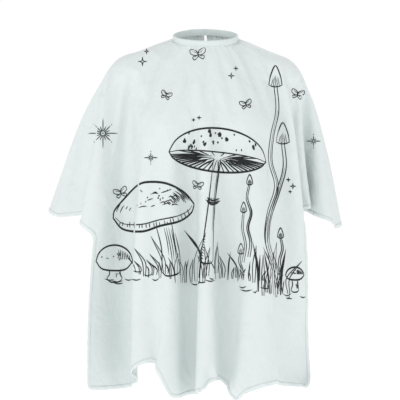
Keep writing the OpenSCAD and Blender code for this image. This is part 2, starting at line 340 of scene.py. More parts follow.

# %% [markdown]
# ## The cut
#
# The cape is cut flat, with a hole for the neck and a slit from the hole to the back edge. The cut is
# full over the arms, narrower under them and wider again at the hem, with rounded corners and two
# shallow hollows in the front edge. These were chosen to give the drape its outline, and a
# real cape may be cut more simply. In flat coordinates the neck is the centre, the wearer's front
# lies towards -Y and the slit runs towards +Y. A simulation needs even triangles, so the outline is
# filled by a Delaunay triangulation over a regular grid of points.

# %% Outline of the cut, in metres
STEP = 0.0135
SLEEVES = {-1: 0.588, 1: 0.598}
CUT_HALF, CUT_FRONT, CUT_BACK = max(SLEEVES.values()), 0.835, 0.500
HOLE_R = 0.094
SLIT_HALF = 0.0015
SHOULDER_S, CORNER_R = 0.190, 0.765
SLEEVE_BACK_R, SLEEVE_BACK_SLANT = 0.40, 0.55
WIDTH_STOPS = (0.06, 0.38, 0.72)
HEM_WIDTHS = {-1: (0.42, 0.60), 1: (0.37, 0.50)}
HEM_WAVES = ((-0.27, 0.070, 0.050), (0.08, 0.060, 0.034))


def half_width(t, side):
    """Half the width of the cut at t: full over the arms, narrow under them, wider at the hem."""
    a, b, c = WIDTH_STOPS
    waist, hem = HEM_WIDTHS[side]
    if -t <= a:
        return SLEEVES[side]
    if -t <= b:
        return SLEEVES[side] + (waist - SLEEVES[side]) * (-t - a) / (b - a)
    return waist + (hem - waist) * (-t - b) / (c - b)


def inside_cut(s, t):
    if abs(s) > half_width(t, 1 if s > 0 else -1) or not -CUT_FRONT <= t <= CUT_BACK:
        return False
    past = abs(s) - SHOULDER_S
    if past <= 0:
        return True
    if t >= 0:
        share = max(0, 1 - past / (CUT_HALF - SHOULDER_S))
        round_enough = math.hypot(past, t) <= SLEEVE_BACK_R + (CUT_BACK - SLEEVE_BACK_R) * share ** 2
        return t < 0.01 or round_enough and abs(s) <= CUT_HALF - SLEEVE_BACK_SLANT * t
    return math.hypot(past, t) <= CORNER_R + (CUT_FRONT - CORNER_R) * max(0, 1 - past / 0.18) ** 2


def cut_reach(angle):
    """Distance from the neck to the edge of the cut, found by halving."""
    low, high = HOLE_R, 1.3
    for _ in range(40):
        mid = (low + high) / 2
        if inside_cut(mid * math.cos(angle), mid * math.sin(angle)):
            low = mid
        else:
            high = mid
    if math.sin(angle) < 0:
        s = low * math.cos(angle)
        low -= sum(rise * math.exp(-(((s - at) / wide) ** 2)) for at, wide, rise in HEM_WAVES)
    return low


def even_points(points, step):
    """The same closed outline with its points a step apart."""
    ring = np.array([*points, points[0]])
    along = np.concatenate([[0], np.cumsum(np.linalg.norm(np.diff(ring, axis=0), axis=1))])
    at = np.linspace(0, along[-1], max(3, round(along[-1] / step)), endpoint=False)
    return [Vector((np.interp(d, along, ring[:, 0]), np.interp(d, along, ring[:, 1]))) for d in at]


def clockwise_from_slit(p):
    return math.atan2(p.x, p.y) % (2 * math.pi)


ROUND = 720
rough = []
for i in range(ROUND):
    angle = math.pi / 2 + 2 * math.pi * i / ROUND
    rough.append((cut_reach(angle) * math.cos(angle), cut_reach(angle) * math.sin(angle)))
edge_points = [p for p in even_points(rough, STEP) if not (abs(p.x) < STEP * 0.6 and p.y > 0)]
edge_points.sort(key=clockwise_from_slit)
cut_wide = max(p.x for p in edge_points) - min(p.x for p in edge_points)
print(f"cut {cut_wide:.2f} by {CUT_FRONT + CUT_BACK:.2f} m, {len(edge_points)} points on its outer edge")

# %% Fill the cut with triangles
HOLE_STEP = 0.009
hole_count = round(2 * math.pi * HOLE_R / HOLE_STEP)
hole_points = []
for i in range(hole_count):
    angle = 2 * math.pi * (i + 0.5) / hole_count
    hole_points.append(Vector((HOLE_R * math.sin(angle), HOLE_R * math.cos(angle))))
slit_top = hole_points[0].y
slit_count = round((CUT_BACK - HOLE_R) / STEP)
slit_right = [Vector((SLIT_HALF, slit_top + (CUT_BACK - slit_top) * i / slit_count))
              for i in range(1, slit_count)]
slit_left = [Vector((-SLIT_HALF, p.y)) for p in slit_right]
loop = [Vector((SLIT_HALF, CUT_BACK)), *edge_points, Vector((-SLIT_HALF, CUT_BACK)), *slit_left[::-1],
        *hole_points[::-1], *slit_right]

points = list(loop)
loop_array = np.array(loop)
row_height = STEP * math.sqrt(3) / 2
row, t = 0, -CUT_FRONT
while t < CUT_BACK:
    s = -CUT_HALF + (STEP / 2 if row % 2 else 0)
    while s < CUT_HALF:
        r = math.hypot(s, t)
        if HOLE_R + STEP * 0.5 < r < cut_reach(math.atan2(t, s)) - STEP * 0.45:
            if np.hypot(loop_array[:, 0] - s, loop_array[:, 1] - t).min() > 0.55 * STEP:
                points.append(Vector((s, t)))
        s += STEP
    t += row_height
    row += 1
count = len(loop)
ring_edges = [(i, (i + 1) % count) for i in range(count)]
cut_points, _, cut_faces, *_ = delaunay_2d_cdt(points, ring_edges, [list(range(count))], 1, 1e-6)
print(f"{len(cut_points)} points and {len(cut_faces)} triangles in the cut")

# %% [markdown]
# ## The dress form
#
# Cloth has no shape of its own, so it needs something to fall on: neck, shoulders, a chest and two
# upper arms held a little out. The form is made of balls and a cylinder that a voxel remesh fuses
# into one smooth body. It is only there for the simulation and is deleted afterwards.


# %% Build the form
def ball(centre, radii):
    bpy.ops.mesh.primitive_uv_sphere_add(segments=32, ring_count=20, radius=1, location=Vector(centre) * MM)
    bpy.context.object.scale = Vector(radii) * MM
    return bpy.context.object


def limb(a, b, radius_a, radius_b):
    """Balls in a row, which fuse into a tapered limb."""
    a, b = Vector(a), Vector(b)
    count = max(2, int((b - a).length / (0.35 * min(radius_a, radius_b))) + 1)
    balls = []
    for i in range(count):
        share = i / (count - 1)
        radius = radius_a + (radius_b - radius_a) * share
        balls.append(ball(a.lerp(b, share), (radius, radius, radius)))
    return balls


bpy.ops.object.select_all(action="DESELECT")
bpy.ops.mesh.primitive_cylinder_add(vertices=48, radius=64 * MM, depth=120 * MM,
                                    location=Vector((0, 4, -10)) * MM, rotation=(math.radians(12), 0, 0))
form_parts = [bpy.context.object]
COLLAR_BONE = (0, 12, -62)
ARMS = (((-158, 8, -88), (-258, 30, -368)), ((152, 8, -90), (158, 30, -404)))
for shoulder, elbow in ARMS:
    form_parts += limb(COLLAR_BONE, shoulder, 58, 47)
    form_parts += limb(shoulder, elbow, 47, 38)
form_parts.append(ball((0, -8, -210), (165, 105, 170)))
for x in (-72, 72):
    form_parts.append(ball((x, -62, -215), (70, 62, 75)))
form_parts.append(ball((0, -5, -420), (116, 98, 230)))
form_parts.append(ball((0, -5, -640), (110, 86, 200)))

bpy.ops.object.select_all(action="DESELECT")
for part in form_parts:
    part.select_set(True)
bpy.context.view_layer.objects.active = form_parts[0]
bpy.ops.object.join()
form = bpy.context.object
form.name = "dress_form"
bpy.ops.object.transform_apply(location=True, rotation=True, scale=True)
form.data.remesh_voxel_size = 0.010
bpy.ops.object.voxel_remesh()
smooth = form.modifiers.new("Smooth", "SMOOTH")
smooth.iterations = 8
bpy.ops.object.modifier_apply(modifier=smooth.name)
form.modifiers.new("Collision", "COLLISION")
form.collision.thickness_outer = 0.006
form.collision.thickness_inner = 0.03
form.collision.cloth_friction = 3
form.collision.damping = 0.5
print("dress form of", len(form.data.vertices), "points")

# %% [markdown]
# ## The drape
#
# The sheet starts as a wide bell around the neck and falls. Its flat cut is a shape key that the
# solver takes as the rest shape, so fullness turns into folds. Not all of it does: the settled sheet
# has about a fifth less area than its cut. The neck edge is pinned to the ring of the band, which is
# shorter than the hole in the cut, and that is what gathers it.

# %% Lay the sheet around the neck
RING_R = neck_r + 2.5 * MM


def bell(p):
    """First guess for a flat point: on a cone around the neck."""
    r, a = math.hypot(p.x, p.y), math.atan2(p.y, p.x)
    ring = band_tilt @ Vector((RING_R * math.cos(a), RING_R * math.sin(a), 0))
    if r < HOLE_R + 1e-4:
        return ring
    slope = math.radians(24 + 14 * abs(math.sin(a)))
    out = RING_R + (r - HOLE_R) * math.cos(slope)
    cone = Vector((out * math.cos(a), out * math.sin(a), 0.012 - (r - HOLE_R) * math.sin(slope)))
    return ring.lerp(cone, min(1, (r - HOLE_R) / 0.05))


flat_points = np.array([(p.x, p.y) for p in cut_points])
falling_mesh = bpy.data.meshes.new("falling_cloth")
falling_mesh.from_pydata([bell(p) for p in cut_points], [], cut_faces)
falling = bpy.data.objects.new("falling_cloth", falling_mesh)
bpy.context.scene.collection.objects.link(falling)
falling.shape_key_add(name="Basis")
cut_key = falling.shape_key_add(name="flat cut")
for i, p in enumerate(cut_points):
    cut_key.data[i].co = (p.x, p.y, 0)
pins = [i for i, p in enumerate(cut_points) if math.hypot(p.x, p.y) < HOLE_R + 1e-4]
falling.vertex_groups.new(name="neck_edge").add(pins, 1.0, "REPLACE")
print(len(pins), "points held by the neckband")

# %% Let it fall
FRAMES = 60
cloth = falling.modifiers.new("Cloth", "CLOTH")
fabric = cloth.settings
fabric.vertex_group_mass = "neck_edge"
fabric.rest_shape_key = cut_key
fabric.quality = 6
fabric.mass = 0.15
fabric.air_damping = 2.0
fabric.tension_stiffness = fabric.compression_stiffness = 12
fabric.shear_stiffness = 4
fabric.bending_stiffness = 5
fabric.tension_damping = fabric.compression_damping = 8
fabric.shear_damping = 6
fabric.bending_damping = 0.8
touch = cloth.collision_settings
touch.collision_quality = 3
touch.distance_min = 0.004
touch.use_self_collision = True
touch.self_distance_min = 0.004
touch.self_friction = 5
cloth.point_cache.frame_start = 1
cloth.point_cache.frame_end = FRAMES + 5
for number in range(1, FRAMES + 1):
    bpy.context.scene.frame_set(number)
settled = falling.evaluated_get(bpy.context.evaluated_depsgraph_get())
draped = np.array([v.co[:] for v in settled.data.vertices])
bpy.context.scene.frame_set(1)
print("the cloth hangs from", draped.min(axis=0).round(3), "to", draped.max(axis=0).round(3))

# %% Take the draped sheet, and put the form away
# Its folds swing out a little past the frame's own back and front, so those are eased in: what hangs
# beyond a depth from the neck keeps only a share of its distance past it
BACK_DEPTH, BACK_KEPT = 0.08, 0.82
FRONT_DEPTH, FRONT_KEPT = 0.12, 0.94
for beyond, towards, keep in ((BACK_DEPTH, 1, BACK_KEPT), (FRONT_DEPTH, -1, FRONT_KEPT)):
    past = np.clip(draped[:, 1] * towards - beyond, 0, None)
    draped[:, 1] -= towards * past * (1 - keep)
sheet_mesh = bpy.data.meshes.new("cape_sheet")
sheet_mesh.from_pydata(draped.tolist(), [], cut_faces)
cut_map = sheet_mesh.uv_layers.new(name="cut")
for corner_of_face in sheet_mesh.loops:
    cut_map.data[corner_of_face.index].uv = flat_points[corner_of_face.vertex_index]
sheet = bpy.data.objects.new("cape_sheet", sheet_mesh)
bpy.context.scene.collection.objects.link(sheet)
bpy.data.objects.remove(falling)
bpy.data.objects.remove(form)

bpy.ops.object.select_all(action="DESELECT")
sheet.select_set(True)
bpy.context.view_layer.objects.active = sheet
finer = sheet.modifiers.new("Subdivision", "SUBSURF")
finer.levels = finer.render_levels = 1
finer.uv_smooth = "NONE"
bpy.ops.object.modifier_apply(modifier=finer.name)
print(len(sheet.data.polygons), "faces after one smooth subdivision")

# %% [markdown]
# ## Gathers and puckers
#
# The triangles of the simulation are too large for the small gathers under the neckband and for the
# puckers that a sewn hem pulls into thin cloth. So the cloth near the neck is subdivided once more,
# and both are added by moving points along their normals, by a few sine waves of different lengths.

# %% More points near the neck
GATHER_REACH = 0.085


def cut_positions(mesh):
    """Flat place of each vertex, from the cloth's own map."""
    flat = np.zeros((len(mesh.vertices), 2))
    index = np.zeros(len(mesh.loops), int)
    uv = np.zeros(len(mesh.loops) * 2)
    mesh.loops.foreach_get("vertex_index", index)
    mesh.uv_layers["cut"].data.foreach_get("uv", uv)
    flat[index] = uv.reshape(-1, 2)
    return flat


def positions(mesh):
    co = np.zeros(len(mesh.vertices) * 3)
    mesh.vertices.foreach_get("co", co)
    return co.reshape(-1, 3)


def normals(mesh):
    out = np.zeros(len(mesh.vertices) * 3)
    mesh.vertex_normals.foreach_get("vector", out)
    return out.reshape(-1, 3)


flat = cut_positions(sheet.data)
bpy.ops.object.mode_set(mode="EDIT")
bpy.ops.mesh.select_mode(type="FACE")
bpy.ops.mesh.select_all(action="DESELECT")
bpy.ops.object.mode_set(mode="OBJECT")
for face in sheet.data.polygons:
    face.select = all(np.hypot(*flat[v]) < HOLE_R + GATHER_REACH for v in face.vertices)
bpy.ops.object.mode_set(mode="EDIT")
bpy.ops.mesh.subdivide(number_cuts=1, smoothness=0.6, quadcorner="STRAIGHT_CUT")
bpy.ops.object.mode_set(mode="OBJECT")
print(len(sheet.data.polygons), "faces with the neck refined")

# %% Ease the neck edge under the band, then gather and pucker
flat = cut_positions(sheet.data)
co = positions(sheet.data)
outwards = normals(sheet.data)
if outwards[np.argmax(co[:, 2] - 2 * np.abs(co[:, 0]))] @ np.array([0, 0, 1]) < 0:
    sheet.data.flip_normals()
    outwards = -outwards
from_hole = np.hypot(flat[:, 0], flat[:, 1]) - HOLE_R
turn = np.arctan2(flat[:, 1], flat[:, 0])
UNDER_BAND, EASE_REACH = band_h / 2 - 0.8 * MM, 0.06
nearness = np.clip(1 - from_hole / EASE_REACH, 0, 1)
ease = nearness ** 2 * (3 - 2 * nearness)
co -= np.outer(ease * UNDER_BAND, np.array(neck_axis))

GATHER_FADE, GATHER_START, GATHER_HEIGHT = 0.030, 0.006, 0.0012
fade = np.exp(-np.clip(from_hole, 0, None) / GATHER_FADE) * np.clip(from_hole / GATHER_START, 0, 1)
gathers = (np.sin(turn * 43 + 1.7 * np.sin(turn * 3)) + 0.6 * np.sin(turn * 71 + 2.1 * np.sin(turn * 5 + 1)))
co += outwards * (fade * gathers * GATHER_HEIGHT)[:, None]


def edge_distance(points):
    """How far each flat point is from the outer edge of the cut, measured towards the neck."""
    return np.array([cut_reach(math.atan2(t, s)) - math.hypot(s, t) for s, t in points])


to_edge = edge_distance(flat)
PUCKER_FADE, PUCKER_HEIGHT = 0.016, 0.0006
near_edge = np.exp(-np.clip(to_edge, 0, None) / PUCKER_FADE)
along_edge = turn * np.hypot(flat[:, 0], flat[:, 1])
puckers = np.sin(along_edge / 0.0062) + 0.7 * np.sin(along_edge / 0.0101 + 1.3)
co += outwards * (near_edge * puckers * PUCKER_HEIGHT)[:, None]
sheet.data.vertices.foreach_set("co", co.ravel())
sheet.data.update()
print(f"neck edge eased by {UNDER_BAND * 1000:.1f} mm")

# %% [markdown]
# ## Five panels that move
#
# The real cape is one sheet, but the frame moves it as five bodies: the front, two wings that lift
# with the arms, and two back flaps that open from the slit. So the draped sheet is parted along the
# same lines. The line of a wing runs down the crease in front of the arm, and each back flap starts
# at the fold from the neck to the back corner.

# %% Fold lines, from the joints and the CAD panels
PANELS = ["front", "left_wing", "right_wing", "left_back_flap", "right_back_flap"]
BODY = dict(zip(PANELS, ["cape_front", *PANELS[1:]]))
WING_START = {-1: 0.014, 1: 0.018}
fold = {}
for side, word in SIDES.items():
    shoulder = joint_at[f"{word}_wing_lift"]
    foot = corner(f"{word}_wing", 1, -1)
    outward = Vector((side * (shoulder.z - foot.z), 0, abs(foot.x - shoulder.x))).normalized()
    fold[f"{word}_wing"] = (side, shoulder, outward)
    down = joint_axis[f"{word}_flap_open"] * side
    medial = down.cross(Vector((0, 1, 0))).normalized() * -side
    fold[f"{word}_back_flap"] = (side, joint_at[f"{word}_flap_open"], medial)
print({name: [round(c, 3) for c in way] for name, (_, _, way) in fold.items()})

# %% Give every face its panel
flat = cut_positions(sheet.data)
co = positions(sheet.data)
face_points = [list(p.vertices) for p in sheet.data.polygons]
face_middle = np.array([co[v].mean(axis=0) for v in face_points])
face_flat = np.array([flat[v].mean(axis=0) for v in face_points])
edge_faces = {}
for number, corners in enumerate(face_points):
    for a, b in zip(corners, corners[1:] + corners[:1]):
        edge_faces.setdefault((min(a, b), max(a, b)), []).append(number)
beside = [[] for _ in face_points]
for pair in edge_faces.values():
    if len(pair) == 2:
        beside[pair[0]].append(pair[1])
        beside[pair[1]].append(pair[0])


def past(name, places):
    """How far places lie past a panel's fold line."""
    _, start, way = fold[name]
    return (places - np.array(start)) @ np.array(way)


def connected(seed, allowed):
    """Faces reached from seed through allowed ones."""
    found, queue = {seed}, [seed]
    while queue:
        for other in beside[queue.pop()]:
            if allowed[other] and other not in found:
                found.add(other)
                queue.append(other)
    return np.array(sorted(found))


panel_of = np.zeros(len(face_points), int)
for number, name in enumerate(PANELS[1:], start=1):
    side = fold[name][0]
    reach = past(name, face_middle)
    if name.endswith("wing"):
        allowed = (reach > WING_START[side]) & (face_flat[:, 0] * side > 0)
    else:
        allowed = (reach > 0) & (face_flat[:, 0] * side > 0) & (face_flat[:, 1] > 0) & (panel_of == 0)
    seed = int(np.argmax(np.where(allowed, reach, -1)))
    panel_of[connected(seed, allowed)] = number

for number, name in enumerate(PANELS[1:], start=1):
    seam = {v for key, pair in edge_faces.items() if len(pair) == 2
            and (panel_of[pair[0]] == number) != (panel_of[pair[1]] == number) for v in key}
    first = past(name, co[sorted(seam)]).max()
    _, start, way = fold[name]
    print(name, (panel_of == number).sum(), "faces, bends from", round(first * 1000), "mm past its line")

# %% [markdown]
# ## Finding a place on the cloth
#
# Hems, stitches and print are laid out on the flat cut, in metres, and then carried to the draped
# sheet. A search tree over the flat triangles finds the one under a flat point, and the same share
# of its corners gives the place and the normal in space.

# %% From the flat cut to the draped sheet, and back
cloth_normal = normals(sheet.data)
triangles, triangle_face = [], []
for number, corners in enumerate(face_points):
    for b, c in zip(corners[1:], corners[2:]):
        triangles.append((corners[0], b, c))
        triangle_face.append(number)
flat_3d = [Vector((s, t, 0)) for s, t in flat]
hung = [Vector(p) for p in co]
facing = [Vector(n) for n in cloth_normal]
flat_tree = BVHTree.FromPolygons(flat_3d, triangles)
hung_tree = BVHTree.FromPolygons(hung, triangles)


def same_share(place, index, start, target):
    """The point of triangle index in target that place is in start."""
    corners = triangles[index]
    return barycentric_transform(place, *(start[k] for k in corners), *(target[k] for k in corners))


def on_cloth(s, t):
    """Place, normal and panel of a flat point on the draped sheet."""
    hit, _, index, _ = flat_tree.find_nearest(Vector((s, t, 0)))
    place = same_share(hit, index, flat_3d, hung)
    normal = same_share(hit, index, flat_3d, facing).normalized()
    return place, normal, int(panel_of[triangle_face[index]])


FRONT_ENDS = 0.05


def seen_at(x, z):
    """Flat place of the front cloth that the camera sees at x, z millimetres from the neck's centre."""
    eye = camera.location
    ray = (Vector((x, 0, z)) * MM - eye).normalized()
    hit, _, index, _ = hung_tree.ray_cast(eye, ray)
    if hit is None:
        return None
    place = same_share(hit, index, hung, flat_3d).xy
    return place if place.y < FRONT_ENDS else None


print("middle of the chest is", [round(c, 3) for c in seen_at(0, -200)], "on the cut")

# %% A piece from points and faces, with the cloth's own map
def new_piece(name, points, faces, flat_places, paint):
    mesh = bpy.data.meshes.new(name)
    mesh.from_pydata([tuple(p) for p in points], [], faces)
    shell = bmesh.new()
    shell.from_mesh(mesh)
    bmesh.ops.recalc_face_normals(shell, faces=shell.faces)
    shell.to_mesh(mesh)
    shell.free()
    uv = mesh.uv_layers.new(name="cut")
    for part in mesh.loops:
        uv.data[part.index].uv = flat_places[part.vertex_index]
    mesh.materials.append(paint)
    mesh.shade_smooth()
    piece = bpy.data.objects.new(name, mesh)
    bpy.context.scene.collection.objects.link(piece)
    return piece


def move_with(piece, panel):
    """Rides on the front's body; a piece of a moving panel only has its transform baked into its points."""
    if panel == "front":
        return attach(piece, BODY[panel])
    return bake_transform(piece)


# %% [markdown]
# ## Cloth panels
#
# A panel is a copy of the sheet with only its own faces. Solidify gives it the thickness of cloth.
# The normals are then taken from the whole sheet, because a panel shaded by itself would show a line
# where it meets the next one.

# %% Part the sheet
CLOTH_T = 0.4 * MM
sheet.data.materials.append(cape_paint)
sheet.data.attributes.new("panel", "INT", "FACE").data.foreach_set("value", panel_of)
kept_normal = sheet.data.attributes.new("sheet_normal", "FLOAT_VECTOR", "POINT")
kept_normal.data.foreach_set("vector", cloth_normal.ravel())
panels = {}
for number, name in enumerate(PANELS):
    piece = bpy.data.objects.new(f"{name}_cloth", sheet.data.copy())
    bpy.context.scene.collection.objects.link(piece)
    part = bmesh.new()
    part.from_mesh(piece.data)
    which = part.faces.layers.int["panel"]
    bmesh.ops.delete(part, geom=[f for f in part.faces if f[which] != number], context="FACES")
    part.to_mesh(piece.data)
    part.free()
    outer = len(piece.data.polygons)
    bpy.ops.object.select_all(action="DESELECT")
    piece.select_set(True)
    bpy.context.view_layer.objects.active = piece
    thick = piece.modifiers.new("Solidify", "SOLIDIFY")
    thick.thickness, thick.offset = CLOTH_T, -1
    bpy.ops.object.modifier_apply(modifier=thick.name)
    bpy.ops.object.shade_smooth()
    mesh = piece.data
    whole = np.zeros(len(mesh.vertices) * 3)
    mesh.attributes["sheet_normal"].data.foreach_get("vector", whole)
    whole = whole.reshape(-1, 3)
    shading = np.zeros((len(mesh.loops), 3))
    for face in mesh.polygons:
        turned = 1 if face.index < outer else -1
        on_rim = face.index >= 2 * outer
        for k in face.loop_indices:
            shading[k] = face.normal if on_rim else whole[mesh.loops[k].vertex_index] * turned
    mesh.normals_split_custom_set(shading.tolist())
    for spare in ("panel", "sheet_normal"):
        mesh.attributes.remove(mesh.attributes[spare])
    panels[name] = piece
    print(name, len(mesh.polygons), "faces")
bpy.data.objects.remove(sheet)

# %% [markdown]
# ## Hems
#
# The raw edge is turned under twice and stitched, which leaves a narrow band, three cloths thick,
# all the way round the cape and down both sides of the slit. Each hem is a closed strip that wraps
# the edge. Its section is worked out at every point of the edge, on the draped cloth.

# %% Follow the edge of the cut
rim = {}
for (a, b), pair in edge_faces.items():
    if len(pair) == 1:
        rim.setdefault(a, []).append((b, pair[0]))
        rim.setdefault(b, []).append((a, pair[0]))
start = max(rim, key=lambda v: flat[v][1] * 10 + min(flat[v][0], 0.002))
walk, inner_face, previous, here = [start], [], None, start
while True:
    step, face = next(((v, f) for v, f in rim[here] if v != previous), (None, None))
    inner_face.append(face)
    if step == start:
        break
    walk.append(step)
    previous, here = here, step


NEAR_SLIT = 3 * MM


def edge_kind(v):
    if math.hypot(*flat[v]) < HOLE_R + 1 * MM:
        return "neck"
    return "slit" if abs(flat[v][0]) < SLIT_HALF + 0.5 * MM and flat[v][1] > 0 else "hem"


def edge_runs():
    """Stretches of the rim that are one kind of edge on one panel: (kind, panel, points, faces)."""
    runs = []
    for i, face in enumerate(inner_face):
        a, b = walk[i], walk[(i + 1) % len(walk)]
        kinds = {edge_kind(a), edge_kind(b)}
        if kinds == {"neck"}:
            continue
        middle = (flat[a][0] + flat[b][0]) / 2
        kind = "slit" if "slit" in kinds and abs(middle) < NEAR_SLIT else "hem"
        key = (kind, int(panel_of[face]), middle > 0)
        if runs and runs[-1][0] == key and runs[-1][1][-1] == a:
            runs[-1][1].append(b)
            runs[-1][2].append(face)
        else:
            runs.append((key, [a, b], [face]))
    return runs


HEM_W, SLIT_HEM_W = 8 * MM, 8 * MM


def inward_ways(line, faces):
    """Unit ways from each edge point into the cloth, on the flat cut."""
    spots = flat[line]
    along = np.gradient(spots, axis=0)
    across = np.stack([-along[:, 1], along[:, 0]], axis=1)
    across /= np.linalg.norm(across, axis=1)[:, None] + 1e-12
    middle = face_flat[faces[len(faces) // 2]] - spots[len(faces) // 2]
    return across if across[len(faces) // 2] @ middle > 0 else -across


def hem_strip(line, faces, width):
    """Points, faces and flat places of one stretch of hem, and the line its stitches follow."""
    points, places, seam = [], [], []
    for v, way in zip(line, inward_ways(line, faces)):
        edge, normal = hung[v], facing[v]
        deep = flat[v] + way * width
        half = flat[v] + way * width * 0.5
        p1, n1, _ = on_cloth(*deep)
        p2, n2, _ = on_cloth(*half)
        out = (edge - p2).normalized()
        points += [p1 + n1 * 0.35 * MM, p2 + n2 * 0.75 * MM, edge + normal * 0.55 * MM + out * 0.4 * MM,
                   edge - normal * 0.2 * MM + out * 0.9 * MM, edge - normal * 0.95 * MM + out * 0.4 * MM,
                   p2 - n2 * 1.15 * MM, p1 - n1 * 0.75 * MM]
        places += [deep, half, flat[v], flat[v], flat[v], half, deep]
        seam.append(flat[v] + way * (width - 1.6 * MM))
    n = 7
    skin = [[i * n + k, i * n + (k + 1) % n, (i + 1) * n + (k + 1) % n, (i + 1) * n + k]
            for i in range(len(line) - 1) for k in range(n)]
    last = (len(line) - 1) * n
    skin += [list(range(n))[::-1], list(range(last, last + n))]
    return points, skin, places, seam


hem_parts, seam_lines = {}, []
for (kind, number, _), line, faces in edge_runs():
    if len(line) < 3:
        continue
    points, skin, places, seam = hem_strip(line, faces, SLIT_HEM_W if kind == "slit" else HEM_W)
    have = hem_parts.setdefault((kind, number), ([], [], []))
    base = len(have[0])
    have[0].extend(points)
    have[1].extend([[k + base for k in f] for f in skin])
    have[2].extend(places)
    seam_lines.append((number, seam))
hems = {}
for (kind, number), (points, skin, places) in hem_parts.items():
    name = f"{PANELS[number]}_{'slit_facing' if kind == 'slit' else 'edge_hem'}"
    hems[kind, number] = new_piece(name, points, skin, places, hem_paint)
    print(name, len(skin), "faces")

# %% [markdown]
# ## Stitches
#
# A lockstitch shows as a row of short raised threads with small gaps. One stitch is modelled as
# a cylinder with its ends drawn in and its middle lifted, and it is copied along each row.

# %% One stitch, along X
STITCH_LONG, STITCH_R, STITCH_PITCH = 2.7 * MM, 0.24 * MM, 3.9 * MM
bpy.ops.object.select_all(action="DESELECT")
bpy.ops.mesh.primitive_cylinder_add(vertices=6, radius=STITCH_R, depth=STITCH_LONG, end_fill_type="TRIFAN",
                                    rotation=(0, math.pi / 2, 0))
stitch = bpy.context.object
bpy.ops.object.transform_apply(location=True, rotation=True, scale=True)
bpy.ops.object.mode_set(mode="EDIT")
bpy.ops.mesh.select_all(action="SELECT")
bpy.ops.mesh.bisect(plane_co=(0, 0, 0), plane_no=(1, 0, 0))
bpy.ops.object.mode_set(mode="OBJECT")
for v in stitch.data.vertices:
    share = abs(v.co.x) / (STITCH_LONG / 2)
    v.co.y *= 1 - 0.55 * share
    v.co.z = v.co.z * (1 - 0.55 * share) - 0.25 * MM * share * share
stitch_mesh = stitch.data.copy()
bpy.data.objects.remove(stitch)
print(len(stitch_mesh.polygons), "faces in a stitch")


def stitched(name, frames, paint=None):
    """A piece of stitches, one for each (place, along, normal)."""
    rows = bmesh.new()
    for place, along, normal in frames:
        x = along.normalized()
        y = normal.cross(x).normalized()
        z = x.cross(y)
        turned = Matrix((x, y, z)).transposed().to_4x4()
        first = len(rows.verts)
        rows.from_mesh(stitch_mesh)
        rows.verts.ensure_lookup_table()
        bmesh.ops.transform(rows, matrix=Matrix.Translation(place) @ turned, verts=rows.verts[first:])
    mesh = bpy.data.meshes.new(name)
    rows.to_mesh(mesh)
    rows.free()
    mesh.materials.append(paint or thread_paint)
    mesh.shade_smooth()
    piece = bpy.data.objects.new(name, mesh)
    bpy.context.scene.collection.objects.link(piece)
    return piece


# %% Rows of stitches along the hems
stitch_frames = {number: [] for number in range(len(PANELS))}
for number, seam in seam_lines:
    seam = np.array(seam)
    along = np.concatenate([[0], np.cumsum(np.linalg.norm(np.diff(seam, axis=0), axis=1))])
    for d in np.arange(STITCH_PITCH / 2, along[-1] - STITCH_PITCH / 2, STITCH_PITCH):
        ends = []
        for e in (d - STITCH_LONG / 2, d + STITCH_LONG / 2):
            ends.append(on_cloth(np.interp(e, along, seam[:, 0]), np.interp(e, along, seam[:, 1])))
        place = (ends[0][0] + ends[1][0]) / 2 + ends[0][1] * 0.62 * MM
        way = ends[1][0] - ends[0][0]
        if way.length > 1e-5:
            stitch_frames[number].append((place, way, ends[0][1]))
hem_stitches = {number: stitched(f"{PANELS[number]}_hem_stitches", frames)
                for number, frames in stitch_frames.items() if frames}
print(sum(len(f) for f in stitch_frames.values()), "stitches in the hems")

# %% [markdown]
# ## The print
#
# A line drawing of a meadow with mushrooms, grass, butterflies and stars is printed on the front in
# black. Ink lies on top of the cloth, so each pen line is a thin flat ribbon laid on the draped sheet
# a third of a millimetre proud, swelling in the middle and tapering at its ends as a pen line does.
# The drawing is made of a few kinds of plant, each a short function that draws in millimetres around
# its own foot. Lines that cross from one panel to the next are parted there, like the cloth.

# %% Pen lines and blots on the cloth
INK_PROUD, INK_SUNK = 0.35 * MM, 0.12 * MM
SAMPLE = 3.2
LONGEST_SKIP, FINEST, PRESS = 26 * MM, 4 * MM, 1.3
ink = {number: ([], [], []) for number in range(len(PANELS))}


def curve_through(points, spacing=SAMPLE):
    """A smooth line through the points, with samples about spacing millimetres apart."""
    p = [Vector(q) for q in points]
    if len(p) == 2:
        p.insert(1, (p[0] + p[1]) / 2)
    p = [p[0] * 2 - p[1], *p, p[-1] * 2 - p[-2]]
    line = []
    for a, b, c, d in zip(p, p[1:], p[2:], p[3:]):
        count = max(1, math.ceil((c - b).length / spacing))
        for k in range(count):
            u = k / count
            line.append(((2 * b) + (c - a) * u + (2 * a - 5 * b + 4 * c - d) * u * u
                         + (3 * b - a - 3 * c + d) * u ** 3) / 2)
    return [*line, p[-2]]


def add_ink(panel, points, faces, places):
    have = ink[panel]
    base = len(have[0])
    have[0].extend(points)
    have[1].extend([[k + base for k in f] for f in faces])
    have[2].extend(places)


def lay_ribbon(panel, rows):
    """rows are four points and places each, across the ribbon."""
    if len(rows) < 2:
        return
    points = [p for row, _ in rows for p in row]
    places = [q for _, row in rows for q in row]
    faces = [[4 * i + k, 4 * i + (k + 1) % 4, 4 * i + 4 + (k + 1) % 4, 4 * i + 4 + k]
             for i in range(len(rows) - 1) for k in range(4)]
    end = 4 * (len(rows) - 1)
    add_ink(panel, points, [*faces, [3, 2, 1, 0], [end, end + 1, end + 2, end + 3]], places)


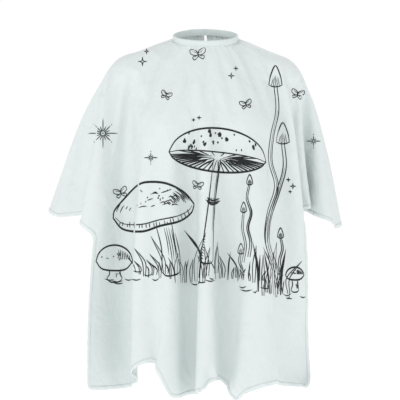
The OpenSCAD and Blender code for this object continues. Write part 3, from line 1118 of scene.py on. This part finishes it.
def ink_run(run, width, start, end):
    """Lays an unbroken run of (flat place, share of the whole line) as ribbons, one per panel."""
    fine = run[:1]
    for (a, u), (b, v) in zip(run, run[1:]):
        count = max(1, math.ceil((b - a).length / FINEST))
        fine += [(a.lerp(b, k / count), u + (v - u) * k / count) for k in range(1, count + 1)]
    rows, panel = [], None
    for i, (q, u) in enumerate(fine):
        along = fine[min(i + 1, len(fine) - 1)][0] - fine[max(i - 1, 0)][0]
        if along.length < 1e-6:
            continue
        swell = min(1, start + (1 - start) * u / 0.3, end + (1 - end) * (1 - u) / 0.3)
        across = Vector((-along.y, along.x)).normalized() * width * PRESS * swell / 2 * MM
        left, right = q + across, q - across
        (pl, nl, here), (pr, nr, _) = on_cloth(*left), on_cloth(*right)
        row = ([pl + nl * INK_PROUD, pr + nr * INK_PROUD, pr - nr * INK_SUNK, pl - nl * INK_SUNK],
               [left, right, right, left])
        if rows and here != panel:
            lay_ribbon(panel, [*rows, row])
            rows = []
        panel = here
        rows.append(row)
    lay_ribbon(panel, rows)


class Drawing:
    """Draws on the hanging front around a foot, in millimetres, x to the right and y up."""

    def __init__(self, x, z, size=1.0, turn=0.0):
        self.foot = Vector((x, z))
        self.size = size
        self.turn = Matrix.Rotation(math.radians(turn), 2)

    def place(self, q):
        """Flat place of a point of the drawing, or None where no front cloth hangs."""
        return seen_at(*(self.foot + self.turn @ (Vector(q) * self.size)))

    def line(self, points, width=2.0, start=0.45, end=0.45, smooth=True):
        """One pen line; start and end are the shares of its width left at its ends."""
        spots = curve_through(points) if smooth else [Vector(q) for q in points]
        run = []
        for i, q in enumerate(spots):
            here = self.place(q)
            if run and (here is None or (here - run[-1][0]).length > LONGEST_SKIP):
                ink_run(run, width, start, end)
                run = []
            if here is not None:
                run.append((here, i / (len(spots) - 1)))
        ink_run(run, width, start, end)

    def blot(self, x, y, rx, ry=None, turn=0.0, uneven=0.12, seed=0):
        """A filled spot of ink with a slightly uneven edge."""
        ry = rx if ry is None else ry
        middle = self.place((x, y))
        if middle is None:
            return
        dice = random.Random(seed)
        n = 14
        spin = self.turn @ Matrix.Rotation(math.radians(turn), 2)
        edge = []
        for k in range(n):
            a = 2 * math.pi * k / n
            r = (1 + dice.uniform(-uneven, uneven)) * self.size * MM
            edge.append(spin @ Vector((rx * r * math.cos(a), ry * r * math.sin(a))))
        places = [middle, *(middle + q / 2 for q in edge), *(middle + q for q in edge)]
        lying = [on_cloth(*q) for q in places]
        points = [p + up * INK_PROUD for p, up, _ in lying] + [p - up * INK_SUNK for p, up, _ in lying]
        size = len(places)
        faces = []
        for k in range(n):
            j = (k + 1) % n
            faces += [[0, 1 + k, 1 + j], [1 + k, 1 + n + k, 1 + n + j, 1 + j],
                      [1 + n + k, size + 1 + n + k, size + 1 + n + j, 1 + n + j],
                      [size, size + 1 + j, size + 1 + k],
                      [size + 1 + k, size + 1 + j, size + 1 + n + j, size + 1 + n + k]]
        add_ink(lying[0][2], points, faces, places + places)


def oval(cx, cy, rx, ry, a0=0, a1=360, n=16):
    """Points on an oval between two angles in degrees."""
    turns = [math.radians(a0 + (a1 - a0) * i / n) for i in range(n + 1)]
    return [(cx + rx * math.cos(a), cy + ry * math.sin(a)) for a in turns]


# %% Mushrooms
def stem(pen, top, foot, half_top, half_foot, sway=4, shades=5, pen_w=2.4, x0=0.0):
    """A stem around x0 from top to foot, both heights, with shading lines down its right side."""
    middle = (top + foot) / 2
    for side in (-1, 1):
        pen.line([(x0 + side * half_top, top), (x0 + side * half_top * 0.9 + sway, middle),
                  (x0 + side * half_foot, foot)], pen_w)
    pen.line([(x0 - half_foot, foot), (x0 - half_foot * 0.5, foot - half_foot * 0.5),
              (x0 + half_foot * 0.6, foot - half_foot * 0.45), (x0 + half_foot, foot)], pen_w)
    dice = random.Random(round(top * 7 + foot))
    for k in range(shades):
        x = x0 + half_top * (0.8 - 0.28 * k)
        a = top - 4 - dice.uniform(0, 8)
        b = foot + (middle - foot) * dice.uniform(0.1, 0.9)
        pen.line([(x, a), (x + sway, (a + b) / 2), (x + 1, b)], 1.6, 0.3, 0.1)


def open_mushroom(pen, wide, dome, under, tall, stem_half, spots=26, gills=26):
    """A broad cap seen a little from below, with gills that run from the stem to the rim."""
    half = wide / 2
    pen.line([(-half, 0), *oval(0, 2, half * 0.97, dome, 168, 12, 14), (half, 0)], 3.0, 0.7, 0.7)
    pen.line([(-half, 0), *oval(0, 0, half * 0.98, under, 188, 352, 16), (half, 0)], 3.2, 0.7, 0.7)
    pen.line([(-half, 0), *oval(0, -1, half * 0.95, under * 0.34, 170, 10, 12), (half, 0)], 2.2)
    for k in range(gills):
        a = math.radians(187 + 166 * (k + 0.5) / gills)
        x, y = math.cos(a), math.sin(a)
        inner = 0.12 + 0.12 * (k % 3)
        pen.line([(half * 0.97 * x, under * 0.96 * y), (half * 0.6 * x, under * 0.66 * y + 3),
                  (half * inner * x, under * 0.30 * y + 3)], 1.9 + 0.9 * (k % 2), 0.9, 0.2)
    for k in range(gills // 3):
        x = math.cos(math.radians(160 - 140 * (k + 0.5) / (gills // 3)))
        y = math.sqrt(max(0, 1 - x * x))
        pen.line([(half * 0.9 * x, under * 0.3 * y), (half * 0.4 * x, under * 0.05)], 1.8, 0.8, 0.2)
    dice = random.Random(spots)
    for k in range(spots):
        a = math.radians(dice.uniform(14, 166))
        out = dice.uniform(0.42, 0.93)
        x, y = half * out * math.cos(a), dome * out * math.sin(a) + 4
        flat_share = 0.45 + 0.4 * math.sin(a)
        r = dice.uniform(2.2, 6.0)
        pen.blot(x, y, r, r * flat_share, turn=math.degrees(a) - 90, uneven=0.22, seed=k)
    stem(pen, -under * 0.1, -tall, stem_half, stem_half * 1.7, sway=-2, shades=2, pen_w=2.4)
    ring = -under - (tall - under) * 0.30
    for lift, reach in ((0, 1.7), (-5, 2.0), (-9, 1.6)):
        at = ring + lift
        pen.line([(-stem_half * reach, at), (0, at - 5), (stem_half * reach, at + 1)], 2.6)
    for k in range(7):
        x = stem_half * (-1.5 + 0.5 * k)
        pen.line([(x * 0.8, ring + 1), (x, ring - 10)], 1.6, 0.6, 0.2)
    for k in range(9):
        y = -tall + 4 + 6 * k
        pen.line([(-stem_half * 1.4, y), (-stem_half * 0.9, y - 2.5)], 1.5, 0.8, 0.2)


def round_mushroom(pen, wide, dome, brim, tall, stem_half, stem_x=0.0, contours=15, seed=3):
    """A domed cap seen from the side, shaded with lines that follow its curve."""
    half = wide / 2
    crown = [(-half, 0), (-half * 0.93, dome * 0.26), (-half * 0.62, dome * 0.62),
             (-half * 0.28, dome * 0.95), (0, dome), (half * 0.42, dome * 0.86), (half * 0.8, dome * 0.5),
             (half * 0.99, dome * 0.1), (half, 0)]
    pen.line(crown, 3.6, 0.7, 0.7)
    wave = [(-half, 0), (-half * 0.8, -brim * 0.7), (-half * 0.35, -brim), (half * 0.1, -brim * 0.85),
            (half * 0.6, -brim * 0.75), (half * 0.9, -brim * 0.4), (half, 0)]
    pen.line(wave, 3.6, 0.7, 0.7)
    pen.line([(x * 0.95, y * 0.62 + 1) for x, y in wave], 1.9)
    dice = random.Random(seed)
    for k in range(contours):
        share = 0.93 - 0.035 * k
        a = 8 + dice.uniform(0, 14)
        b = a + dice.uniform(14, 46) * (1 - 0.04 * k)
        pen.line(oval(0, 0, half * share, dome * share, a, b, 4), 2.0, 0.3, 0.15)
        if k % 3 == 0:
            pen.line(oval(0, 0, half * share, dome * share * 0.8, 176 - a, 176 - b * 0.7, 4), 1.8, 0.3, 0.15)
    for k in range(14):
        x, y = half * dice.uniform(-0.5, 0.6), dome * dice.uniform(0.1, 0.62)
        long = dice.uniform(6, 20)
        pen.line([(x, y), (x + long * 0.5, y + 1.5), (x + long, y + dice.uniform(-2, 3))], 1.7, 0.2, 0.1)
    for k in range(20):
        x = half * (-0.9 + 1.8 * (k + dice.random() * 0.6) / 20)
        y = -brim * 0.85 * math.sqrt(max(0, 1 - (x / half) ** 2))
        pen.line([(x, y), (x * 0.97, y + dice.uniform(6, 14))], 1.8, 0.8, 0.1)
    for k in range(16):
        a = math.radians(dice.uniform(35, 145))
        out = dice.uniform(0.35, 0.85)
        x, y = half * out * math.cos(a), dome * out * math.sin(a)
        pen.blot(x, y, dice.uniform(1.1, 2.3), uneven=0.2, seed=k)
    stem(pen, -brim * 0.85, -tall, stem_half, stem_half * 1.2, sway=2, shades=4, pen_w=2.6, x0=stem_x)


def puffball(pen, wide, tall):
    """A small round cap on a short stem."""
    half = wide / 2
    pen.line([(-half, 0), *oval(0, 0, half * 0.98, half * 0.9, 172, 8, 10), (half, 0)], 2.8, 0.7, 0.7)
    pen.line([(-half, 0), (-half * 0.6, -half * 0.42), (half * 0.5, -half * 0.45), (half, 0)], 2.8, 0.7, 0.7)
    stem(pen, -half * 0.42, -tall, half * 0.32, half * 0.42, sway=1, shades=3, pen_w=2.2)
    dice = random.Random(round(wide))
    for k in range(12):
        a = math.radians(dice.uniform(25, 155))
        out = dice.uniform(0.3, 0.8)
        x, y = half * out * math.cos(a), half * 0.75 * out * math.sin(a)
        pen.blot(x, y, dice.uniform(0.9, 1.9), uneven=0.25, seed=k)
    for k in range(7):
        x = half * (0.25 + 0.1 * k)
        top = half * 0.7 * math.sqrt(max(0.05, 1 - (x / half) ** 2))
        pen.line([(x, half * 0.12), (x * 0.92, top)], 1.6, 0.7, 0.1)


def bell_mushroom(pen, tall, sways, cap_w=24, cap_h=34, gap=7.5):
    """A pointed cap on a long winding stem; sways are its sideways swings from top to foot."""
    way = [(x, -tall * i / (len(sways) - 1)) for i, x in enumerate(sways)]
    for side in (-1, 1):
        edge = [(x + side * gap * (0.4 + 0.25 * i / len(way)), y) for i, (x, y) in enumerate(way)]
        pen.line(edge, 2.2, 0.7, 0.7)
    if len(way) > 4:
        pen.line([(x + gap * 0.1, y) for x, y in way[1:-1]], 1.3, 0.2, 0.2)
    x0 = sways[0]
    pen.line([(x0 - cap_w / 2, 0), (x0 - cap_w * 0.36, cap_h * 0.5), (x0, cap_h),
              (x0 + cap_w * 0.36, cap_h * 0.5), (x0 + cap_w / 2, 0)], 2.2, 0.7, 0.7)
    pen.line([(x0 - cap_w / 2, 0), (x0 - cap_w * 0.2, -3.5), (x0 + cap_w * 0.2, -3.5), (x0 + cap_w / 2, 0)],
             2.0, 0.7, 0.7)
    for k in range(5):
        x = cap_w * (-0.3 + 0.15 * k)
        pen.line([(x0 + x, -1), (x0 + x * 0.55, cap_h * (0.35 + 0.08 * (k % 3)))], 1.1, 0.8, 0.1)


# %% Grass and ground
def grass(pen, wide, tall, blades, seed, lean=0.0):
    """A tuft: blades that leave the ground close together and bend away."""
    dice = random.Random(seed)
    for k in range(blades):
        x = wide * (k / (blades - 1) - 0.5) + dice.uniform(-4, 4)
        h = tall * dice.choice((0.32, 0.45, 0.6, 0.8, 1.0)) * dice.uniform(0.85, 1.1)
        away = (x / wide * 0.9 + lean + dice.uniform(-0.35, 0.35)) * h * 0.5
        bow = away * dice.uniform(-0.1, 0.35)
        base = dice.uniform(-9, 7)
        half = h * dice.uniform(0.022, 0.04) + 1.2
        tip = (x + away, h)
        if k % 3 == 0:
            pen.line([(x, base), (x + bow, h * 0.5), tip], half * 1.1, 0.5, 0.06)
        else:
            pen.line([(x - half * 0.6, base), (x + bow - half, h * 0.45), tip], 1.7, 0.8, 0.3)
            pen.line([(x + half * 0.6, base), (x + bow + half, h * 0.45), tip], 1.7, 0.8, 0.3)


def ground(pen, wide, lines, seed):
    dice = random.Random(seed)
    for k in range(lines):
        x = wide * dice.uniform(-0.5, 0.35)
        y = dice.uniform(-16, 6)
        long = wide * dice.uniform(0.1, 0.3)
        pen.line([(x, y), (x + long * 0.5, y - 3), (x + long, y + dice.uniform(-3, 3))], 1.9, 0.2, 0.2)


# %% Butterflies and stars
def butterfly(pen, span):
    """Two pairs of wings, a body and feelers."""
    for side in (-1, 1):
        upper = [(0, 2), (side * span * 0.16, span * 0.30), (side * span * 0.46, span * 0.38),
                 (side * span * 0.47, span * 0.12), (side * span * 0.2, -1), (0, 0)]
        lower = [(0, 0), (side * span * 0.22, -2), (side * span * 0.38, -span * 0.14),
                 (side * span * 0.27, -span * 0.31), (side * span * 0.1, -span * 0.2), (0, -3)]
        pen.line(upper, 1.5, 0.8, 0.8)
        pen.line(lower, 1.5, 0.8, 0.8)
        pen.line([(side * 1.5, 3), (side * span * 0.34, span * 0.26)], 0.9, 0.8, 0.2)
        pen.line([(side * 1.5, -1), (side * span * 0.26, -span * 0.15)], 0.9, 0.8, 0.2)
        feeler = [(side * 0.6, 5), (side * span * 0.07, span * 0.26), (side * span * 0.13, span * 0.32)]
        pen.line(feeler, 0.9, 0.8, 0.5)
    pen.line([(0, 6), (0, -span * 0.16)], 2.6, 0.6, 0.3)


def starburst(pen, reach, rays=16):
    """Long and short rays around an empty middle, with dots between."""
    for k in range(rays):
        a = 2 * math.pi * k / rays
        way = Vector((math.cos(a), math.sin(a)))
        far = reach * (1, 0.5, 0.72, 0.5)[k % 4]
        pen.line([way * reach * 0.13, way * far], 1.7, 0.9, 0.15)
        if k % 4 == 2:
            spot = way * (far + 3)
            pen.blot(spot.x, spot.y, 1.2, seed=k)
    pen.blot(0, 0, reach * 0.055, seed=1)


def sparkle(pen, reach):
    """A four-pointed star, drawn as an outline that curves in."""
    tips = [Vector((math.cos(k * math.pi / 2), math.sin(k * math.pi / 2))) * reach for k in range(4)]
    for a, b in zip(tips, tips[1:] + tips[:1]):
        pen.line([a, (a + b) * 0.16, b], 1.5, 0.5, 0.5)


# %% Lay out the drawing
# Places are millimetres on the front as it hangs, right and up from the middle of the neck
open_mushroom(Drawing(26, -258, turn=-6), wide=212, dome=60, under=33, tall=226, stem_half=8)
round_mushroom(Drawing(-113, -378, turn=9), wide=178, dome=66, brim=38, tall=132, stem_half=17, stem_x=18)
puffball(Drawing(-198, -486), wide=80, tall=36)
puffball(Drawing(194, -516), wide=40, tall=32)
for x, z, tall, sways in ((149, -102, 440, (3, 7, -4, -8, 5, -10, -16, -6, -18)),
                          (165, -226, 330, (3, 7, -8, -26, -30, -12, -2))):
    bell_mushroom(Drawing(x, z), tall, sways, cap_w=29, cap_h=42, gap=8)
for x, z, tall, sways in ((96, -316, 200, (0, -7, 4, -5, 3, -2)), (163, -432, 100, (0, 5, -3, 3)),
                          (83, -376, 140, (0, -3, 5, -2)), (77, -466, 70, (0, -4, 3, -2))):
    bell_mushroom(Drawing(x, z, size=0.8), tall, sways, cap_w=17, cap_h=24, gap=5)
for number, (x, z, wide, tall, blades, lean) in enumerate((
        (-128, -512, 50, 62, 6, -0.9), (-84, -516, 50, 84, 7, -0.4), (-34, -524, 60, 112, 8, 0.1),
        (8, -516, 40, 140, 5, -0.3), (52, -520, 60, 66, 8, 0.0), (96, -528, 52, 80, 8, 0.0),
        (138, -556, 46, 106, 7, 0.05), (160, -552, 34, 96, 5, 0.35))):
    grass(Drawing(x, z), wide, tall, blades, seed=number + 5, lean=lean)
for number, (x, z, wide) in enumerate(((-196, -524, 90), (-128, -508, 80), (-20, -526, 90), (100, -536, 90),
                                       (196, -550, 60))):
    ground(Drawing(x, z), wide, 4, seed=number)
for x, z, span, turn in ((-16, -36, 34, 8), (-86, -125, 24, -20), (88, -145, 26, 14), (200, -123, 28, -12),
                         (-184, -337, 30, 18), (-17, -321, 24, -10)):
    butterfly(Drawing(x, z, turn=turn), span)
starburst(Drawing(-223, -207), 33)
starburst(Drawing(-119, -260), 15, rays=8)
starburst(Drawing(235, -224), 16, rays=8)
for x, z, reach in ((-128, -29, 6), (-137, -51, 10), (66, -66, 5), (56, -82, 7), (-26, -178, 4),
                    (-14, -173, 5), (180, -308, 5), (190, -322, 7), (184, -334, 4)):
    sparkle(Drawing(x, z), reach)
prints = {}
for number, (points, faces, places) in ink.items():
    if faces:
        prints[number] = new_piece(f"{PANELS[number]}_print", points, faces, places, ink_paint)
        print(PANELS[number], "carries", len(faces), "faces of ink")

# %% [markdown]
# ## The neckband
#
# The band is a strip of stiffener inside a folded strip of the cape's cloth. Sewing pulls the cloth
# down along two rows of stitches, and between them it stands a little full, with small puckers. It
# is spun around the neck from one rounded section, and then its points are moved to make that relief.


# %% Measures of a CAD piece around the neck's axis
def around_neck(node):
    """Lowest and highest radius, angle in degrees and height of a node, about the neck's axis."""
    back = band_tilt.transposed()
    found = [back @ v.co for v in frame["nodes"][node].data.vertices]
    radius = [math.hypot(p.x, p.y) for p in found]
    turn = [math.degrees(math.atan2(p.y, p.x)) for p in found]
    height = [p.z for p in found]
    return (min(radius), max(radius)), (min(turn), max(turn)), (min(height), max(height))


def rounded(k, n, half_r, half_z):
    """A point of a rounded rectangle's outline."""
    a = 2 * math.pi * k / n
    c, s = math.cos(a), math.sin(a)
    return math.copysign(abs(c) ** 0.55, c) * half_r, math.copysign(abs(s) ** 0.30, s) * half_z


def in_edit_mode(*steps):
    bpy.ops.object.mode_set(mode="EDIT")
    bpy.ops.mesh.select_all(action="SELECT")
    for step in steps:
        step()
    bpy.ops.object.mode_set(mode="OBJECT")


def close_ends():
    bpy.ops.mesh.select_all(action="SELECT")
    bpy.ops.mesh.fill_holes(sides=0)
    bpy.ops.mesh.select_all(action="SELECT")
    bpy.ops.mesh.normals_make_consistent(inside=False)


END_GAP = 0.5
BAND_STEPS = 400
SECTION = 28
ROW_Z = band_h / 2 - 1.2 * MM
middle_r, half_t = (neck_r + band_r) / 2, (band_r - neck_r) / 2
bpy.ops.object.select_all(action="DESELECT")
bpy.ops.mesh.primitive_circle_add(vertices=SECTION, radius=1 * MM, fill_type="NOTHING")
band = bpy.context.object
band.name = "neckband_cover"
begin = math.radians(90 + END_GAP)
for k, v in enumerate(band.data.vertices):
    dr, z = rounded(k, SECTION, half_t, band_h / 2)
    v.co = ((middle_r + dr) * math.cos(begin), (middle_r + dr) * math.sin(begin), z)
in_edit_mode(lambda: bpy.ops.mesh.spin(steps=BAND_STEPS, angle=math.radians(360 - 2 * END_GAP),
                                       center=(0, 0, 0), axis=(0, 0, 1)), close_ends)


def row_dip(z, rows, wide=0.9 * MM):
    """1 on a row of stitches, falling to 0 beside it."""
    return sum(math.exp(-(((z - row) / wide) ** 2)) for row in rows)


for v in band.data.vertices:
    r, a = math.hypot(v.co.x, v.co.y), math.atan2(v.co.y, v.co.x)
    out = 1 if r > middle_r else -1
    full = 0.28 * MM * max(0, 1 - (v.co.z / (band_h * 0.45)) ** 2)
    dip = row_dip(v.co.z, (-ROW_Z, ROW_Z))
    pucker = 0.16 * MM * math.sin(a * 118 + 1.4 * math.sin(a * 9)) * (0.4 + dip)
    if abs(r - middle_r) > half_t / 2:
        r += out * (full + pucker - 0.34 * MM * dip)
    v.co.z += 0.18 * MM * math.sin(a * 31 + 2 * math.sin(a * 4)) * math.copysign(1, v.co.z)
    v.co.x, v.co.y = r * math.cos(a), r * math.sin(a)
print("neckband of", len(band.data.polygons), "faces")


# %% Ready a modelled piece
def ready(piece, paint, tilted=True):
    """Turns a piece made about the neck's axis into place, smooths it and gives it its finish."""
    if tilted:
        piece.data.transform(band_tilt.to_4x4())
    piece.data.materials.clear()
    piece.data.materials.append(paint)
    if not piece.data.uv_layers.get("cut"):
        uv = piece.data.uv_layers.new(name="cut")
        for part in piece.data.loops:
            p = piece.data.vertices[part.vertex_index].co
            uv.data[part.index].uv = (math.atan2(p.y, p.x) * band_r, p.z)
    bpy.ops.object.select_all(action="DESELECT")
    piece.select_set(True)
    bpy.context.view_layer.objects.active = piece
    bpy.ops.object.shade_smooth_by_angle(angle=math.radians(50))
    return piece


def on_ring(r, degrees, z):
    a = math.radians(degrees)
    return band_tilt @ Vector((r * math.cos(a), r * math.sin(a), z))


def ring_stitches(name, r, from_angle, to_angle, rows):
    """Rows of stitches around the neck at radius r, between two angles in degrees."""
    frames = []
    pitch = math.degrees(STITCH_PITCH / r)
    for z in rows:
        for k in range(int((to_angle - from_angle) / pitch)):
            a = from_angle + (k + 0.5) * pitch
            out = on_ring(1, a, 0)
            frames.append((on_ring(r, a, z), on_ring(r, a + 1, z) - on_ring(r, a, z), out))
    return stitched(name, frames)


ready(band, band_paint)
(_, (tab_root_a, tab_tip_a), _) = around_neck("tab_shell")
(_, (base_a, base_end_a), _) = around_neck("tab_base")
ROW_SINK = 0.10 * MM
band_stitches = ring_stitches("neckband_stitches", band_r - ROW_SINK, tab_tip_a + 3, 360 + base_a - 3,
                              (-ROW_Z, ROW_Z))
print("the closure tab runs from", round(tab_root_a), "to", round(tab_tip_a), "degrees")

# %% [markdown]
# ## The closure tab
#
# The band's free end laps over the other and presses onto two studs. It is a grid bent around the
# neck, rounded at its tip, thickened by Solidify and softened by Bevel, with the same stitched relief.

# %% Tab and the end that it grows from
TAB_LONG, TAB_WIDE = 44, 10


def strip_piece(name, from_angle, to_angle, low_r, thick, round_tip):
    """A strip around the neck; low_r gives the radius of its inner face at a share of its length."""
    bpy.ops.object.select_all(action="DESELECT")
    bpy.ops.mesh.primitive_grid_add(x_subdivisions=TAB_LONG, y_subdivisions=TAB_WIDE, size=1)
    piece = bpy.context.object
    piece.name = name
    half = band_h / 2 - 0.2 * MM
    long = math.radians(to_angle - from_angle) * band_r
    for v in piece.data.vertices:
        u, w = v.co.x + 0.5, v.co.y * 2
        from_tip = (1 - u) * long
        narrow = math.sqrt(max(0.0, 1 - max(0, 1 - from_tip / half) ** 2)) if round_tip else 1
        z = w * half * max(narrow, 0.12)
        a = math.radians(from_angle + (to_angle - from_angle) * u)
        r = low_r(u) + thick
        v.co = (r * math.cos(a), r * math.sin(a), z)
    solid = piece.modifiers.new("Solidify", "SOLIDIFY")
    solid.thickness = thick
    solid.offset = -1 if piece.data.polygons[0].normal.dot(Vector((0, 1, 0))) > 0 else 1
    bpy.ops.object.modifier_apply(modifier=solid.name)
    soft = piece.modifiers.new("Bevel", "BEVEL")
    soft.width, soft.segments, soft.limit_method, soft.angle_limit = 0.55 * MM, 3, "ANGLE", math.radians(50)
    bpy.ops.object.modifier_apply(modifier=soft.name)
    in_edit_mode(lambda: bpy.ops.mesh.normals_make_consistent(inside=False))
    for v in piece.data.vertices:
        r, a = math.hypot(v.co.x, v.co.y), math.atan2(v.co.y, v.co.x)
        u = (math.degrees(a) - from_angle) / (to_angle - from_angle)
        if r > low_r(min(1, max(0, u))) + thick * 0.8:
            r -= 0.22 * MM * row_dip(v.co.z, (-ROW_Z, ROW_Z)) * (1 + 0.4 * math.sin(a * 130))
            v.co.x, v.co.y = r * math.cos(a), r * math.sin(a)
    return ready(piece, band_paint)


(_, tab_out), _, _ = around_neck("tab_shell")
(tab_in, _), _, _ = around_neck("tab_lining")
(base_in, _), _, _ = around_neck("tab_base")
tab_thick = tab_out - tab_in
tab = strip_piece("closure_tab_cover", tab_root_a, tab_tip_a, lambda u: tab_in, tab_thick, True)
tab_end = strip_piece("tab_fixed_end", base_a, base_end_a,
                      lambda u: base_in + (tab_in - base_in) * math.sin(u * math.pi / 2) ** 2,
                      tab_thick, False)
tab_stitches = ring_stitches("closure_tab_stitches", tab_out - 0.05 * MM, tab_root_a + 2, tab_tip_a - 6,
                             (-ROW_Z, ROW_Z))
print("closure tab", round(math.radians(tab_tip_a - tab_root_a) * band_r * 1000), "mm long")

# %% [markdown]
# ## Snaps
#
# The caps on the outside of the tab are moulded discs with a rolled rim and a shallow dish. Their
# profile is a few points that are spun about the pin. The studs and sockets come from the frame as
# they are, and only get the resin finish.

# %% Domed snap caps
CAP_PROFILE = ((0, 0.55), (0.16, 0.56), (0.30, 0.66), (0.48, 0.92), (0.70, 1.0), (0.88, 0.86), (0.98, 0.5),
               (1.0, 0.0))
CAP_TURNS = 48
caps = frame["nodes"]["socket_caps"]
back = band_tilt.transposed()
cap_points = [back @ v.co for v in caps.data.vertices]
cap_top = max(math.hypot(p.x, p.y) for p in cap_points)
cap_turns = [math.degrees(math.atan2(p.y, p.x)) for p in cap_points if abs(p.z) < 1 * MM]
cap_r = max(p.z for p in cap_points)
half_turn = math.degrees(cap_r / tab_out)
cap_angles = (min(cap_turns) + half_turn, max(cap_turns) - half_turn)
cap_pieces = []
for number, degrees in enumerate(cap_angles, start=1):
    bpy.ops.object.select_all(action="DESELECT")
    cap = bpy.data.objects.new(f"snap_cap_{number}", bpy.data.meshes.new(f"snap_cap_{number}"))
    bpy.context.scene.collection.objects.link(cap)
    cap.select_set(True)
    bpy.context.view_layer.objects.active = cap
    profile = bmesh.new()
    line = [profile.verts.new((r * cap_r, 0, h * (cap_top - tab_out))) for r, h in CAP_PROFILE]
    for a, b in zip(line, line[1:]):
        profile.edges.new((a, b))
    profile.to_mesh(cap.data)
    profile.free()
    in_edit_mode(lambda: bpy.ops.mesh.spin(steps=CAP_TURNS, angle=2 * math.pi,
                                           center=(0, 0, 0), axis=(0, 0, 1)),
                 lambda: bpy.ops.mesh.select_all(action="SELECT"),
                 lambda: bpy.ops.mesh.remove_doubles(threshold=0.01 * MM), close_ends)
    up = Vector((math.cos(math.radians(degrees)), math.sin(math.radians(degrees)), 0))
    cap.data.transform(Matrix.Translation(up * tab_out) @ up.to_track_quat("Z", "Y").to_matrix().to_4x4())
    cap_pieces.append(ready(cap, snap_paint))
print("snap caps of", round(cap_r * 2000, 1), "mm")

# %% Finish for the frame's own pieces that show
for node, paint in (("snap_studs", snap_paint), ("stud_caps", snap_paint), ("snap_sockets", snap_paint),
                    ("neckband_interlining", felt_paint)):
    piece = frame["nodes"][node]
    if not piece.material_slots:
        piece.data.materials.append(paint)
    for holder in piece.material_slots:
        holder.link = "OBJECT"
        holder.material = paint

# %% [markdown]
# ## Everything on its body
#
# Each piece of the front, the band and the tab now rides on a body of the frame, and the pieces of
# the moving panels stay where they hang. The CAD pieces that they replace are hidden. The size each
# cloth panel was cut to is measured here on the flat cut.

# %% Bodies and the CAD pieces that they stand for
STANDS_FOR = {0: ["front_panel", "left_yoke", "right_yoke"], 1: ["left_wing"], 2: ["right_wing"],
              3: ["left_back_flap"], 4: ["right_back_flap"]}
HEM_FOR = {("hem", 0): ["front_hem", "left_side_hem", "right_side_hem"], ("hem", 1): ["left_wing_hem"],
           ("hem", 2): ["right_wing_hem"], ("hem", 3): ["left_back_hem"], ("hem", 4): ["right_back_hem"],
           ("slit", 3): ["left_slit_facing"], ("slit", 4): ["right_slit_facing"]}
for number, name in enumerate(PANELS):
    goes_with = [piece for (_, panel), piece in hems.items() if panel == number]
    goes_with += [group[number] for group in (hem_stitches, prints) if number in group]
    for piece in (panels[name], *goes_with):
        move_with(piece, name)
    for key, piece in hems.items():
        if key[1] == number:
            if key in HEM_FOR:
                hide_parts(*HEM_FOR[key])
    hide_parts(*STANDS_FOR[number])
    spots = flat[sorted({v for f in np.flatnonzero(panel_of == number) for v in face_points[f]})]
    wide, long = spots.max(axis=0) - spots.min(axis=0)
    for face in np.flatnonzero(panel_of == number):
        p = flat[face_points[face]]

for piece in (band, band_stitches, tab_end):
    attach(piece, "cape_front")
for piece in (tab, tab_stitches, *cap_pieces):
    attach(piece, "closure_tab")
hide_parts("neckband_shell", "neckband_lining")
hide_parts("neckband_stitching")
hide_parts("tab_base")
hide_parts("tab_shell", "tab_interlining", "tab_lining")
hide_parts("tab_stitching")
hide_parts("socket_caps")
